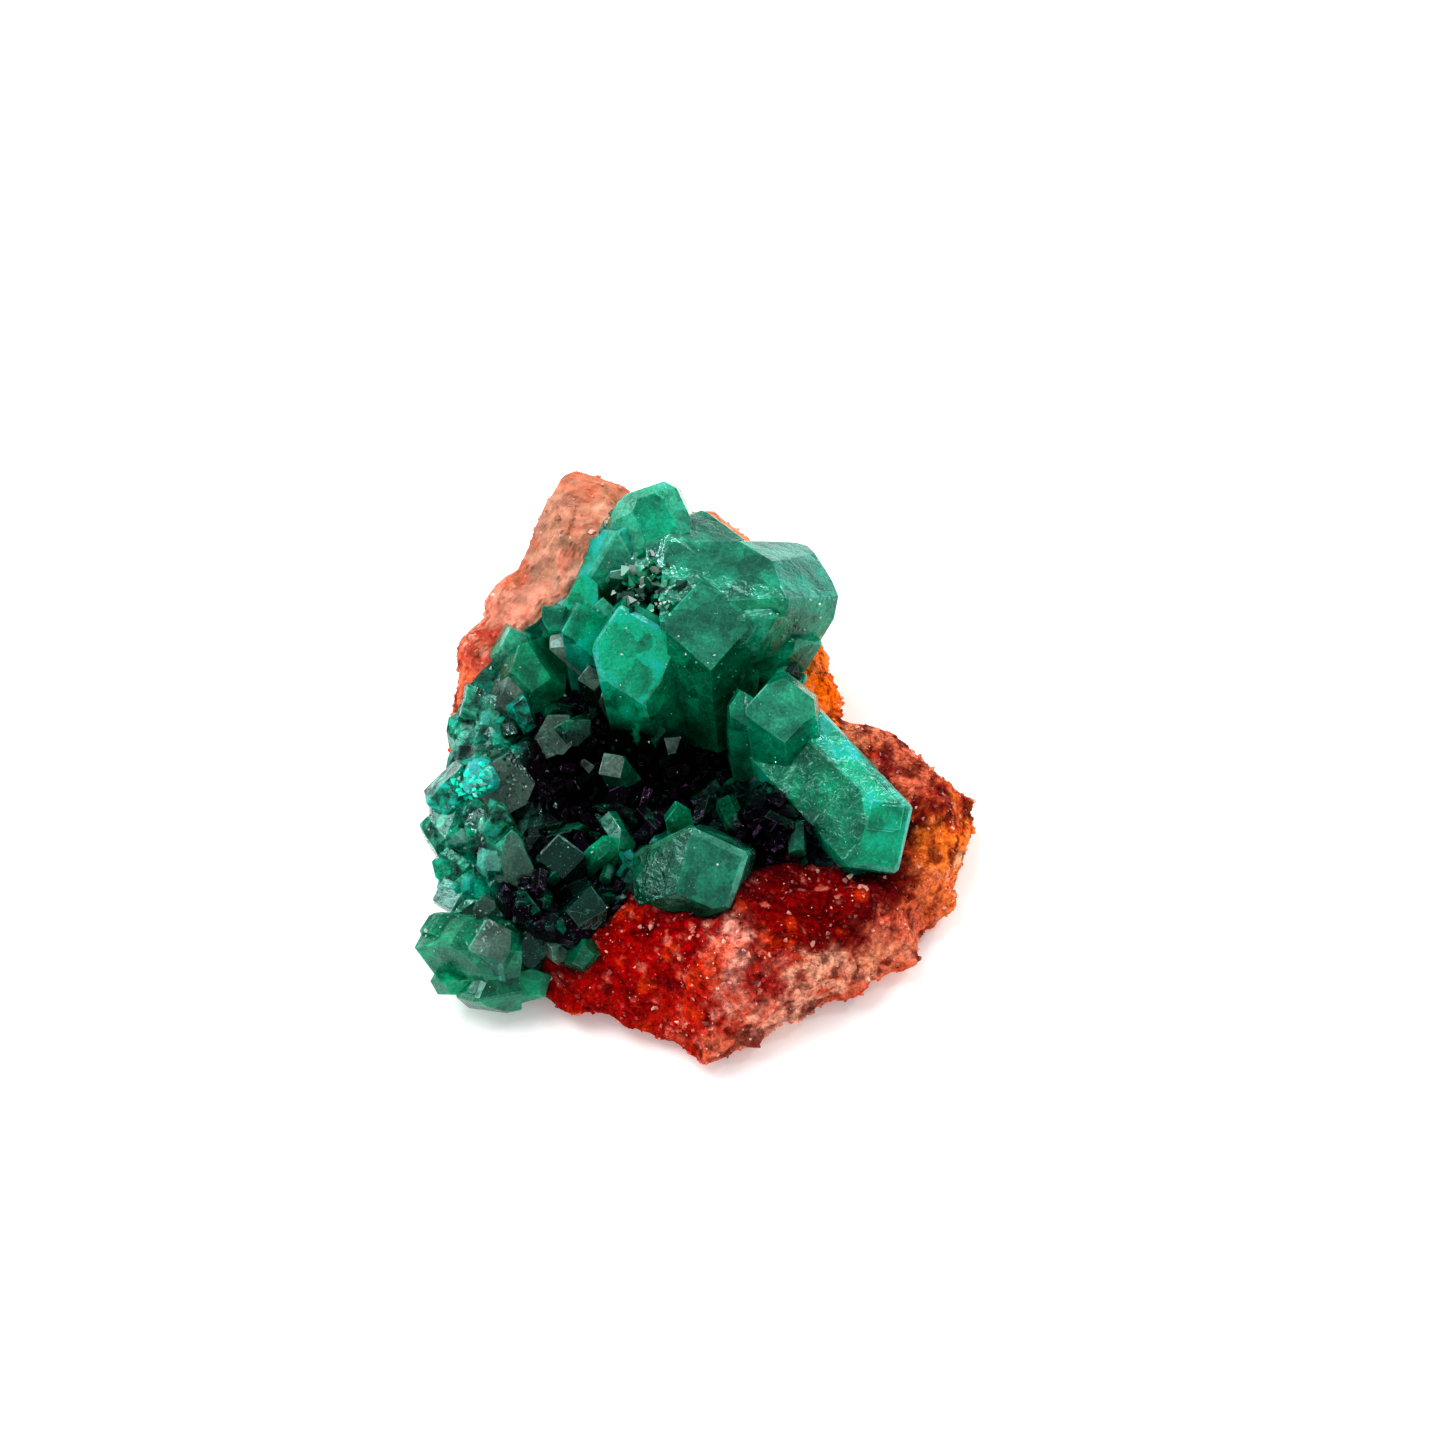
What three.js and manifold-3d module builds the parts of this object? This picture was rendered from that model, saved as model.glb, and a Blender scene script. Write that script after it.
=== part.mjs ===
// Dioptase on matrix: intergrown green dioptase crystals on a lump of red rock.
// Millimetres, +Z up, the rock's flat foot on z = 0 with the origin under its middle.
import * as THREE from 'three';
import { ConvexGeometry } from 'three/addons/geometries/ConvexGeometry.js';
import { mergeVertices } from 'three/addons/utils/BufferGeometryUtils.js';
import Module from 'manifold-3d';

const wasm = await Module();
wasm.setup();

const TURN = 2 * Math.PI;
const radians = (degrees) => (degrees * Math.PI) / 180;
const mix = (from, to, share) => from + (to - from) * share;

// ---- driving dimensions -------------------------------------------------------------

const faceLean = 32; // degrees: the crystal-bearing face leans this far forward of level
const faceHeight = 8; // height of the middle of that face
const rhombTilt = 51; // degrees between a crystal's axis and the normal of a rhomb face
const crystalGap = 0.1; // clear space between the crystals and the rock
const crustThickness = 0.9; // druse crust that the crystals grow from
const crustDepth = 3; // how far the crust's edge reaches down into the rock
const crustRim = 0.15; // thickness left at the crust's edge
const crustFloor = 1; // height of the crust's underside at its middle
const crustMiddle = [-2, 3];

// The rock's profile, from the back (first) round to the front (second).
const browInset = [1, 4.2]; // how far inside the plan the top turns down into the side
const girthHeight = [0.75, 2]; // widest ring: share of the brow's height, then millimetres
const innermostRing = 0.2; // share of the way out to the brow
const sideRoughness = 0.8; // share of the unevenness that the sides have
const footTuck = 0.1; // share by which the foot draws in under the widest ring

// plan of the rock at its widest, going round from the right
const rockPlan = [
  [21.3, -0.4], [17.8, 1.8], [15.5, 3.6], [12.4, 4.3], [11.2, 5.6], [11, 7.6],
  [10, 9.6], [9.6, 12.4], [7.6, 16.4], [4.6, 19.2], [1.8, 21.4], [-4.4, 21.8], [-7, 23.2],
  [-10.3, 23.2], [-11.8, 20.4], [-13.8, 16.4], [-15.6, 14.4], [-15.6, 13.4], [-18, 10.2],
  [-18.8, 4.6], [-18.4, 0], [-18, -4.6], [-16.6, -9.2], [-14.4, -13.2], [-10.9, -16.4],
  [-7.7, -17.7], [-5.5, -18.6], [-2.5, -19.6], [2, -21.6], [4.6, -20.6], [6.9, -19.2],
  [12.4, -16], [15.6, -13.8], [17.4, -11.4], [19.8, -8.4], [20.8, -4.4],
];

// plan of the crust, as points on the rock
const crustPlan = [
  [-4.6, 21], [-7, 17.2], [-8.9, 13.7], [-12, 11.6], [-14.6, 9.4], [-17, 6.2],
  [-18, 3.8], [-17.6, 0], [-17.2, -4.5], [-15.6, -9.2], [-13.2, -13], [-10.6, -14.6],
  [-8, -15.2], [-6.8, -13.5], [-6, -10.6], [-4.4, -10], [-3, -12.3], [0.5, -13],
  [3, -12.5], [4.6, -8.8], [8, -8.5], [12, -9], [15, -7.5], [16, -4],
  [14, -2], [10, 2.2], [7, 6.8], [7.4, 10], [6, 14.5], [2, 18.4],
];

// rises and hollows of the rock's top: middle [x, y], spread [x, y] and height
const rockSwells = [
  { at: [-9, 20], spread: [7.5, 8], height: 6 },
  { at: [2, 17], spread: [6, 6], height: 3.5 },
  { at: [11, 4], spread: [5, 4], height: 1.2 },
  { at: [-3, -0.5], spread: [8, 7.5], height: -4.6 },
  { at: [-10, -8], spread: [5, 5], height: -2.4 },
  { at: [4, -15], spread: [12, 4], height: 0.8 },
  { at: [20, -2], spread: [4, 6], height: -1.5 },
  { at: [13, -4], spread: [4, 4], height: -0.9 },
  { at: [9.5, 14], spread: [4, 5], height: -2.8 },
];

// Crystals. at: tip, as [across, up the leaning face, height above the foot]; lean: degrees
// from the face's normal; heading: which way it leans, 0 to the right and 90 up the face;
// spin: turn about the axis; cut: how far a face lies out (+) or in (-) of the ideal form,
// p0..p5 the prism faces and r0..r2 the rhomb faces; chip: plane of a broken corner.
const crystals = [
  // upper group
  { at: [-1.7, 21.4, 18.5], lean: 52, heading: 70, spin: -4, width: 5.8, length: 11, cut: { r0: -0.2 } },
  { at: [-3.7, 18.7, 16], lean: 68, heading: 57, spin: 30, width: 3.9, length: 8 },
  {
    at: [11.7, 12.2, 14], lean: 80, heading: 0, spin: 180, width: 9.5, length: 13.5,
    chip: [-0.1, -0.81, 0.58, 0.75],
  },
  { at: [4.3, 16.9, 14.6], lean: 78, heading: 22, spin: 180, width: 7.6, length: 9 },
  { at: [0.7, 13.8, 19], lean: 50, heading: 95, spin: 0, width: 6.2, length: 14, cut: { r0: -1 } },
  { at: [-5.3, 11.9, 17.5], lean: 52, heading: 102, spin: 2, width: 5.8, length: 12, cut: { r0: -1.7 } },
  { at: [-5, 11.5, 16.55], lean: 44, heading: 98, spin: 6, width: 4, length: 6, cut: { r0: -0.1 } },
  // right side, and the long block that points down to the right
  { at: [6.3, 6.9, 15.4], lean: 50, heading: 99, spin: -6, width: 5.4, length: 12, cut: { r0: -0.3 } },
  { at: [3.6, 5.6, 13.5], lean: 50, heading: 95, spin: 10, width: 2.4, length: 8 },
  { at: [4, 8.4, 12.5], lean: 45, heading: 80, spin: 0, width: 2.4, length: 7 },
  { at: [5.6, 8.8, 12], lean: 50, heading: 110, spin: 0, width: 2.2, length: 7 },
  {
    at: [15.4, -8, 8.4], lean: 62, heading: -47, spin: -15, width: 7.3, length: 15,
    cut: { p0: -0.85, p1: 0.1, p4: 0.15, p5: 0.1 },
  },
  { at: [6.8, 8.4, 11.5], lean: 50, heading: 100, spin: 0, width: 1.8, length: 5 },
  { at: [8.3, 8.9, 11.3], lean: 60, heading: 40, spin: 0, width: 2, length: 4 },
  // front block
  { at: [4.2, -6.4, 12.5], lean: 48, heading: 25, spin: -2, width: 7, length: 9, cut: { r0: -0.2 } },
  { at: [-1.2, -3, 11.5], lean: 40, heading: 100, spin: 0, width: 1.8, length: 4 },
  // lower left corner
  { at: [-20.8, -13.9, 5.2], lean: 76, heading: 178, spin: 180, width: 5, length: 8.5 },
  { at: [-18, -17, 3], lean: 80, heading: 190, spin: 160, width: 3.4, length: 5 },
  { at: [-10.4, -15.6, 3.6], lean: 82, heading: 14, spin: 30, width: 2.2, length: 5 },
  // upper left flank
  { at: [-11.7, 10.1, 13], lean: 50, heading: 84, spin: 0, width: 4.5, length: 9 },
  { at: [-13.8, 10.4, 12], lean: 46, heading: 104, spin: 10, width: 3.6, length: 8 },
  { at: [-10.8, 9.8, 12.6], lean: 70, heading: 139, spin: 0, width: 1.5, length: 5 },
  { at: [-16.9, 6.2, 10.5], lean: 50, heading: 118, spin: 10, width: 3.6, length: 8 },
  { at: [-14.4, 7, 11], lean: 50, heading: 100, spin: 10, width: 3.2, length: 7 },
  { at: [-16.2, 3.6, 9.8], lean: 50, heading: 125, spin: 10, width: 3.4, length: 7 },
  { at: [-18.4, 1.6, 8.4], lean: 60, heading: 120, spin: 10, width: 2.4, length: 7 },
  { at: [-12.7, 5.2, 10.8], lean: 45, heading: 80, spin: 10, width: 2.4, length: 5 },
  { at: [-9.4, 3.9, 10.6], lean: 58, heading: 60, spin: -20, width: 3, length: 8 },
  { at: [-7.6, 3.4, 10], lean: 60, heading: 30, spin: 30, width: 2.6, length: 6 },
  { at: [-7.8, 7.6, 12], lean: 55, heading: 100, spin: 0, width: 2, length: 6 },
  { at: [-6.6, 6.2, 11.6], lean: 55, heading: 120, spin: 0, width: 2.2, length: 6 },
  { at: [-8.2, 14.6, 15], lean: 60, heading: 90, spin: 0, width: 3, length: 7 },
  { at: [-8.6, 12.2, 15], lean: 50, heading: 100, spin: 10, width: 3.4, length: 8 },
  { at: [-11.4, 12, 13.5], lean: 55, heading: 130, spin: 0, width: 2.4, length: 6 },
  { at: [-6.8, 12.6, 14], lean: 50, heading: 90, spin: 0, width: 2.6, length: 7 },
  { at: [-5, 14.8, 15.5], lean: 45, heading: 60, spin: 0, width: 1.8, length: 5 },
  { at: [-3.2, 14.6, 15.5], lean: 40, heading: 110, spin: 0, width: 1.6, length: 5 },
  { at: [-2.4, 13.2, 15.5], lean: 45, heading: 90, spin: 20, width: 1.8, length: 5 },
  { at: [-4.2, 13, 15], lean: 35, heading: 120, spin: 0, width: 1.6, length: 5 },
  // left edge
  { at: [-12.8, 0.6, 11], lean: 44, heading: 75, spin: 0, width: 4.4, length: 7 },
  { at: [-15.2, -2.6, 10], lean: 44, heading: 110, spin: 0, width: 2.8, length: 7 },
  { at: [-14.9, 1.2, 10], lean: 50, heading: 110, spin: 0, width: 2, length: 6 },
  { at: [-15.9, -1.6, 10.6], lean: 15, heading: 200, spin: 20, width: 2.2, length: 4 },
  { at: [-16, 0.5, 9.8], lean: 65, heading: 50, spin: 30, width: 2.6, length: 5 },
  { at: [-19.6, -1.6, 7.6], lean: 60, heading: 130, spin: 20, width: 3, length: 6 },
  { at: [-20.6, -4.3, 6.6], lean: 66, heading: 160, spin: 20, width: 3.6, length: 6 },
  { at: [-20.2, -7.2, 5.6], lean: 66, heading: 175, spin: 0, width: 3.4, length: 6 },
  { at: [-19.5, -10, 4.8], lean: 60, heading: 185, spin: 20, width: 2.6, length: 6 },
  { at: [-17.6, -10.8, 6.2], lean: 50, heading: 170, spin: 10, width: 3, length: 6 },
  { at: [-13.4, -4.8, 11], lean: 48, heading: 92, spin: 0, width: 3.4, length: 7 },
  { at: [-15.8, -6.2, 9.6], lean: 50, heading: 130, spin: 0, width: 2.2, length: 6 },
  { at: [-15.6, -9.6, 8.4], lean: 40, heading: 100, spin: 0, width: 1.6, length: 5 },
  // in the hollow
  { at: [-10, -5, 9.8], lean: 52, heading: 95, spin: 0, width: 3.4, length: 7 },
  { at: [-7.8, -8.4, 10.2], lean: 50, heading: 80, spin: 0, width: 3.3, length: 7 },
  { at: [-5.4, -5.3, 9.4], lean: 65, heading: 40, spin: 0, width: 1.6, length: 5 },
  { at: [-6.7, 0.9, 9], lean: 55, heading: 124, spin: 0, width: 2.1, length: 7 },
  { at: [-8.5, 0.7, 8.2], lean: 55, heading: 100, spin: 0, width: 1.8, length: 5 },
  { at: [-8.4, -12.8, 8], lean: 25, heading: 100, spin: 0, width: 2.4, length: 4 },
  { at: [-10.4, -12.8, 7.6], lean: 25, heading: 140, spin: 0, width: 2.2, length: 4 },
  { at: [-12.4, -12.4, 7.2], lean: 30, heading: 100, spin: 0, width: 2.4, length: 4 },
  { at: [-3.2, 3.4, 10], lean: 40, heading: 100, spin: 0, width: 1.8, length: 5 },
  { at: [-1, 2.4, 10], lean: 40, heading: 60, spin: 0, width: 1.8, length: 5 },
  { at: [-1.2, 0.2, 7.4], lean: 40, heading: 60, spin: 0, width: 1.4, length: 4 },
  { at: [2.6, -2.2, 7.4], lean: 40, heading: 100, spin: 0, width: 1.6, length: 4 },
];

// small crystals strewn over the crust
const drusy = { count: 26, seed: 2027, width: [0.7, 1.5], length: 2.6, proud: 0.55, lean: 50, reach: 0.96 };

// ---- shapes worked out from those ---------------------------------------------------

// Park-Miller generator, so that every build strews the same crystals
function generator(seed) {
  let state = seed;
  return () => {
    state = (state * 16807) % 2147483647;
    return state / 2147483647;
  };
}

// corners of a plan outline as angle and radius, seen from its middle
function polarCorners(plan, middle) {
  const corners = plan.map(([x, y]) => {
    const angle = Math.atan2(y - middle[1], x - middle[0]);
    return { angle, radius: Math.hypot(x - middle[0], y - middle[1]) };
  });
  return corners.sort((a, b) => a.angle - b.angle);
}

// radius of a plan outline at an angle
function planRadius(plan, middle) {
  const corners = polarCorners(plan, middle);
  const last = corners[corners.length - 1];
  const ring = [{ angle: last.angle - TURN, radius: last.radius }, ...corners];
  ring.push({ angle: corners[0].angle + TURN, radius: corners[0].radius });
  return (angle) => {
    const next = ring.findIndex((corner) => corner.angle > angle);
    const [a, b] = [ring[next - 1], ring[next]];
    return mix(a.radius, b.radius, (angle - a.angle) / (b.angle - a.angle));
  };
}

// height of the rock's top: level ground plus its swells
function rockTop(x, y) {
  let height = faceHeight;
  for (const swell of rockSwells) {
    const dx = (x - swell.at[0]) / swell.spread[0];
    const dy = (y - swell.at[1]) / swell.spread[1];
    height += swell.height * Math.exp(-dx * dx - dy * dy);
  }
  return height;
}

// unevenness of broken rock: crossed ridges whose lengths shrink from one to the next,
// with as much above the level as below it
const waves = { count: 9, longest: 9, shrink: 0.82, swing: 0.055 };
const meanRidge = 4 / Math.PI; // mean of twice the size of a sine
function unevenness(x, y, z) {
  let sum = 0;
  let wavelength = waves.longest;
  for (let k = 0; k < waves.count; k += 1) {
    const level = 1 - (2 * k + 1) / waves.count;
    const flat = Math.sqrt(1 - level * level);
    const around = k * 2.4;
    const along = x * flat * Math.cos(around) + y * flat * Math.sin(around) + z * level;
    const ridge = 2 * Math.abs(Math.sin((Math.PI * along) / wavelength + k));
    sum += waves.swing * wavelength * (meanRidge - ridge);
    wavelength *= waves.shrink;
  }
  return sum;
}

// closed solid from rings of points that share one count, closed by a fan at each end
function ringSolid(rings, firstMiddle, lastMiddle) {
  const count = rings[0].length;
  const positions = [...rings.flat(), firstMiddle, lastMiddle].flat();
  const first = rings.length * count;
  const faces = [];
  for (let j = 0; j < count; j += 1) {
    const k = (j + 1) % count;
    faces.push(first, j, k);
    for (let i = 0; i + 1 < rings.length; i += 1) {
      const [a, b] = [i * count + j, i * count + k];
      faces.push(a, a + count, b, b, a + count, b + count);
    }
    faces.push(first + 1, first - count + k, first - count + j);
  }
  const geometry = new THREE.BufferGeometry();
  geometry.setAttribute('position', new THREE.Float32BufferAttribute(positions, 3));
  geometry.setIndex(faces);
  return geometry;
}

// The rock: rings over its top, down its sides and in under its foot. swell grows it all
// round for the clearance cut.
function rockGeometry(swell = 0) {
  const [topRings, sideRings, footRings] = [10, 5, 3];
  const corners = polarCorners(rockPlan, [0, 0]);
  const widest = planRadius(rockPlan, [0, 0]);
  const rings = Array.from({ length: topRings + sideRings + footRings }, () => []);
  const middle = [0, 0, rockTop(0, 0) + unevenness(0, 0, faceHeight) + swell];
  const spokes = corners.flatMap(({ angle }, j) => {
    const next = j + 1 < corners.length ? corners[j + 1].angle : corners[0].angle + TURN;
    return [angle, (angle + next) / 2]; // one spoke through each corner and one between
  });
  for (const spoke of spokes) {
    const angle = spoke > Math.PI ? spoke - TURN : spoke;
    const [c, s] = [Math.cos(angle), Math.sin(angle)];
    const front = Math.min(1, Math.max(0, 0.5 - 0.9 * s)); // 1 in front, 0 at the back
    const radius = widest(angle);
    const brow = radius - mix(...browInset, front);
    const browHeight = rockTop(brow * c, brow * s);
    const girth = mix(girthHeight[0] * browHeight, girthHeight[1], front);
    for (let i = 0; i < topRings; i += 1) {
      const r = brow * mix(innermostRing, 1, i / (topRings - 1));
      const [x, y] = [r * c, r * s];
      const z = rockTop(x, y);
      rings[i].push([x, y, z + unevenness(x, y, z) + swell]);
    }
    const browLift = unevenness(brow * c, brow * s, browHeight) + swell;
    for (let i = 1; i <= sideRings; i += 1) {
      const down = i / sideRings;
      const level = mix(browHeight, girth, down ** 1.3);
      const r = mix(brow, radius, down ** 0.8);
      const bulge = r + sideRoughness * unevenness(r * c, r * s, level) * down + swell;
      rings[topRings - 1 + i].push([bulge * c, bulge * s, level + browLift * (1 - down)]);
    }
    for (let i = 1; i <= footRings; i += 1) {
      const down = i / footRings;
      const level = girth * (1 - down);
      const rough = sideRoughness * unevenness(radius * c, radius * s, level) * (1 - 0.5 * down);
      const r = radius * (1 - footTuck * down * down) + rough + swell;
      rings[topRings + sideRings - 1 + i].push([r * c, r * s, down < 1 ? level : -swell]);
    }
  }
  return ringSolid(rings, middle, [0, 0, -swell]);
}

// The crust: a sheet over the rock's top, thick inside and thin at its edge
function crustGeometry() {
  const around = 44;
  const bands = 6;
  const edge = planRadius(crustPlan, crustMiddle);
  const rise = (share) => crustRim + crustThickness * (1 - share ** 6);
  const upper = Array.from({ length: bands }, () => []);
  const rim = [];
  for (let j = 0; j < around; j += 1) {
    const angle = -Math.PI + (j * TURN) / around;
    for (let i = 0; i < bands; i += 1) {
      const share = (i + 1) / bands;
      const x = crustMiddle[0] + edge(angle) * share * Math.cos(angle);
      const y = crustMiddle[1] + edge(angle) * share * Math.sin(angle);
      const z = rockTop(x, y);
      upper[i].push([x, y, z + unevenness(x, y, z) + rise(share)]);
      if (i + 1 === bands) rim.push([x, y, z - crustDepth]);
    }
  }
  const [x, y] = crustMiddle;
  const z = rockTop(x, y);
  return ringSolid([...upper, rim], [x, y, z + unevenness(x, y, z) + rise(0)], [x, y, crustFloor]);
}

// point of three planes [nx, ny, nz, distance], or null where they don't meet in one
function planeMeeting(a, b, c) {
  const matrix = new THREE.Matrix3().set(a[0], a[1], a[2], b[0], b[1], b[2], c[0], c[1], c[2]);
  if (Math.abs(matrix.determinant()) < 1e-6) return null;
  return new THREE.Vector3(a[3], b[3], c[3]).applyMatrix3(matrix.invert());
}

// One crystal: the space inside six prism faces, three rhomb faces and a flat root, as a
// convex solid with its tip at the origin and its axis along +Z
function crystalGeometry({ width, length, cut = {}, chip }) {
  const planes = chip ? [[0, 0, -1, length], chip] : [[0, 0, -1, length]];
  for (let k = 0; k < 6; k += 1) {
    const around = radians(30 + 60 * k);
    planes.push([Math.cos(around), Math.sin(around), 0, width / 2 + (cut[`p${k}`] ?? 0)]);
  }
  const slope = radians(rhombTilt);
  for (let k = 0; k < 3; k += 1) {
    const around = radians(120 * k);
    const out = Math.sin(slope);
    planes.push([out * Math.cos(around), out * Math.sin(around), Math.cos(slope), cut[`r${k}`] ?? 0]);
  }
  const inside = (p) => planes.every(([x, y, z, d]) => x * p.x + y * p.y + z * p.z < d + 1e-6);
  const corners = [];
  for (let i = 0; i < planes.length; i += 1) {
    for (let j = i + 1; j < planes.length; j += 1) {
      for (let k = j + 1; k < planes.length; k += 1) {
        const point = planeMeeting(planes[i], planes[j], planes[k]);
        const known = point && corners.some((corner) => corner.distanceTo(point) < 1e-5);
        if (point && !known && inside(point)) corners.push(point);
      }
    }
  }
  return new ConvexGeometry(corners);
}

// axes of the leaning face in the part's frame: across, up the face and out of it
const lean = radians(faceLean);
const faceUp = new THREE.Vector3(0, Math.cos(lean), Math.sin(lean));
const faceOut = new THREE.Vector3(0, -Math.sin(lean), Math.cos(lean));

function onFace(across, up, out) {
  return new THREE.Vector3(across, 0, 0).addScaledVector(faceUp, up).addScaledVector(faceOut, out);
}

// Turn and place one crystal from its tip, lean, heading and spin
function placement({ at, lean: tilt, heading, spin }) {
  const [across, up, height] = at;
  const [t, h] = [radians(tilt), radians(heading)];
  const axis = onFace(Math.sin(t) * Math.cos(h), Math.sin(t) * Math.sin(h), Math.cos(t));
  const side = onFace(-Math.cos(t) * Math.cos(h), -Math.cos(t) * Math.sin(h), Math.sin(t));
  const out = (height - faceHeight - up * faceUp.z) / faceOut.z;
  const tip = onFace(across, up, out).setZ(height);
  const turn = new THREE.Matrix4().makeBasis(side, axis.clone().cross(side), axis);
  turn.multiply(new THREE.Matrix4().makeRotationZ(radians(spin)));
  return turn.setPosition(tip);
}

// small crystals strewn over the crust, each leaning its own way out of the face
function drusyCrystals() {
  const random = generator(drusy.seed);
  const edge = planRadius(crustPlan, crustMiddle);
  return Array.from({ length: drusy.count }, () => {
    const angle = Math.PI * (2 * random() - 1);
    const r = edge(angle) * Math.sqrt(random()) * drusy.reach;
    const [x, y] = [crustMiddle[0] + r * Math.cos(angle), crustMiddle[1] + r * Math.sin(angle)];
    const z = rockTop(x, y);
    const height = z + unevenness(x, y, z) + crustThickness + drusy.proud;
    const up = y * faceUp.y + (height - faceHeight) * faceUp.z;
    return {
      at: [x, up, height],
      lean: drusy.lean * random(),
      heading: 360 * random(),
      spin: 120 * random(),
      width: mix(drusy.width[0], drusy.width[1], random()),
      length: drusy.length,
    };
  });
}

// ---- solids: joining and cutting ----------------------------------------------------

function toSolid(geometry) {
  for (const name of ['normal', 'uv']) geometry.deleteAttribute(name);
  const merged = mergeVertices(geometry, 1e-4);
  const vertProperties = new Float32Array(merged.attributes.position.array);
  const triVerts = new Uint32Array(merged.index.array);
  return new wasm.Manifold(new wasm.Mesh({ numProp: 3, vertProperties, triVerts }));
}

// Largest closed shell of a solid: chips cut loose and pockets inside are left out
function largestShell(solid) {
  const { vertProperties, triVerts } = solid.getMesh();
  const parent = Array.from({ length: vertProperties.length / 3 }, (_, i) => i);
  const root = (i) => {
    let top = i;
    while (parent[top] !== top) top = parent[top];
    while (parent[i] !== top) [parent[i], i] = [top, parent[i]];
    return top;
  };
  for (let t = 0; t < triVerts.length; t += 3) {
    parent[root(triVerts[t + 1])] = root(triVerts[t]);
    parent[root(triVerts[t + 2])] = root(triVerts[t]);
  }
  const tally = new Map();
  for (let t = 0; t < triVerts.length; t += 3) {
    const shell = root(triVerts[t]);
    tally.set(shell, (tally.get(shell) ?? 0) + 1);
  }
  const [largest] = [...tally].sort((a, b) => b[1] - a[1])[0];
  const kept = [];
  for (let t = 0; t < triVerts.length; t += 3) {
    if (root(triVerts[t]) === largest) kept.push(...triVerts.slice(t, t + 3));
  }
  const geometry = new THREE.BufferGeometry();
  geometry.setAttribute('position', new THREE.BufferAttribute(vertProperties, 3));
  geometry.setIndex(kept);
  return geometry;
}

function clusterGeometry() {
  let cluster = toSolid(crustGeometry());
  for (const crystal of [...crystals, ...drusyCrystals()]) {
    const geometry = crystalGeometry(crystal).applyMatrix4(placement(crystal));
    cluster = cluster.add(toSolid(geometry));
  }
  return largestShell(cluster.subtract(toSolid(rockGeometry(crystalGap))));
}

// ---- the part -----------------------------------------------------------------------

function namedMesh(name, geometry, look) {
  const mesh = new THREE.Mesh(geometry, new THREE.MeshStandardMaterial(look));
  mesh.name = name;
  return mesh;
}

const rockLook = { color: 0xb8452c, roughness: 0.9, metalness: 0 };
const crystalLook = { color: 0x1c8f6b, roughness: 0.2, metalness: 0 };

const part = new THREE.Group();
part.add(namedMesh('matrix', rockGeometry(), rockLook));
part.add(namedMesh('dioptase_cluster', clusterGeometry(), crystalLook));

export default part;
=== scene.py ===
# %% [markdown]
# # Dioptase on matrix
#
# Dioptase is a green copper mineral. It grows as short six-sided columns that end in three
# slanting faces. Here a crust of such crystals covers the leaning face of a lump of red
# rock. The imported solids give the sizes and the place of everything. This file builds the
# surfaces that are seen: the broken rock, its loose grains, and the clear crystals.

# %% Load the frame
import itertools
import math

import bmesh
import bpy
import numpy as np
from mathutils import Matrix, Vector
from mathutils.bvhtree import BVHTree


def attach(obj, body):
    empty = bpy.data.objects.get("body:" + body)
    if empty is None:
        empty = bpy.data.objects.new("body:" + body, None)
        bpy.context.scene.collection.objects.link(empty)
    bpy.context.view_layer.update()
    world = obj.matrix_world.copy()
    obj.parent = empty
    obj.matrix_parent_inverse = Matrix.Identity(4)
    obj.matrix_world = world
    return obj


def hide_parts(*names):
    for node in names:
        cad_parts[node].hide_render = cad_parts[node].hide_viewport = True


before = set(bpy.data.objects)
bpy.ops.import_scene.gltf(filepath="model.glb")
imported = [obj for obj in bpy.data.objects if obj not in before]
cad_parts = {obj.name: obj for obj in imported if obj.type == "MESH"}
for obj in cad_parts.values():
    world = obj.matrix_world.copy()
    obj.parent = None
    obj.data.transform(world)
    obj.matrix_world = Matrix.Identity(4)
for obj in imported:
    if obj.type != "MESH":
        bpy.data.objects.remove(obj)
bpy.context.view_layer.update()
MM = 0.001

# %% [markdown]
# ## Camera
#
# The crystal-bearing face leans 32 degrees forward, and the camera looks straight at it,
# so it looks 58 degrees down. Three directions on that face are used all through the file:
# across, up the face, and out of it towards the camera.

# %% Camera
FACE_LEAN = math.radians(32)
FACE_HEIGHT = 8.0
ACROSS = np.array([1.0, 0, 0])
UP = np.array([0, math.cos(FACE_LEAN), math.sin(FACE_LEAN)])
OUT = np.array([0, -math.sin(FACE_LEAN), math.cos(FACE_LEAN)])
FRAME_WIDTH = 108.4
LENS, SENSOR = 150, 36
AIM = np.array([2.21, 0, FACE_HEIGHT]) + 3.19 * UP


def face_place(points):
    """Across, up and out of points in millimetres: x, and their dot products with the face's
    up and out directions, measured from the middle of the face."""
    middle = points - [0, 0, FACE_HEIGHT]
    return np.stack([points[..., 0], middle @ UP, middle @ OUT], axis=-1)


def face_point(across, up, out):
    """Point in millimetres at a place across, up and out on the face."""
    return across * ACROSS + up * UP + out * OUT + [0, 0, FACE_HEIGHT]


camera_data = bpy.data.cameras.new("camera")
camera_data.lens = LENS
camera_data.sensor_width = SENSOR
camera_data.clip_start = 0.01
camera = bpy.data.objects.new("camera", camera_data)
camera.location = (AIM + OUT * FRAME_WIDTH * LENS / SENSOR) * MM
camera.rotation_euler = (FACE_LEAN, 0, 0)
bpy.context.scene.collection.objects.link(camera)
bpy.context.scene.camera = camera
print("camera at", [round(v, 4) for v in camera.location])

# %% [markdown]
# ## Noise and broken blocks
#
# Natural surfaces need randomness that is the same on every run. Blender's own noise module
# takes one point at a time, which is slow for the tens of thousands of points here. So both
# functions below mix the whole numbers of a lattice cell into a random value, for whole
# arrays of points at once. One blends the values smoothly. The other gives each point its
# nearest random seed, which splits space into blocks, as cracks split a rock.

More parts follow.
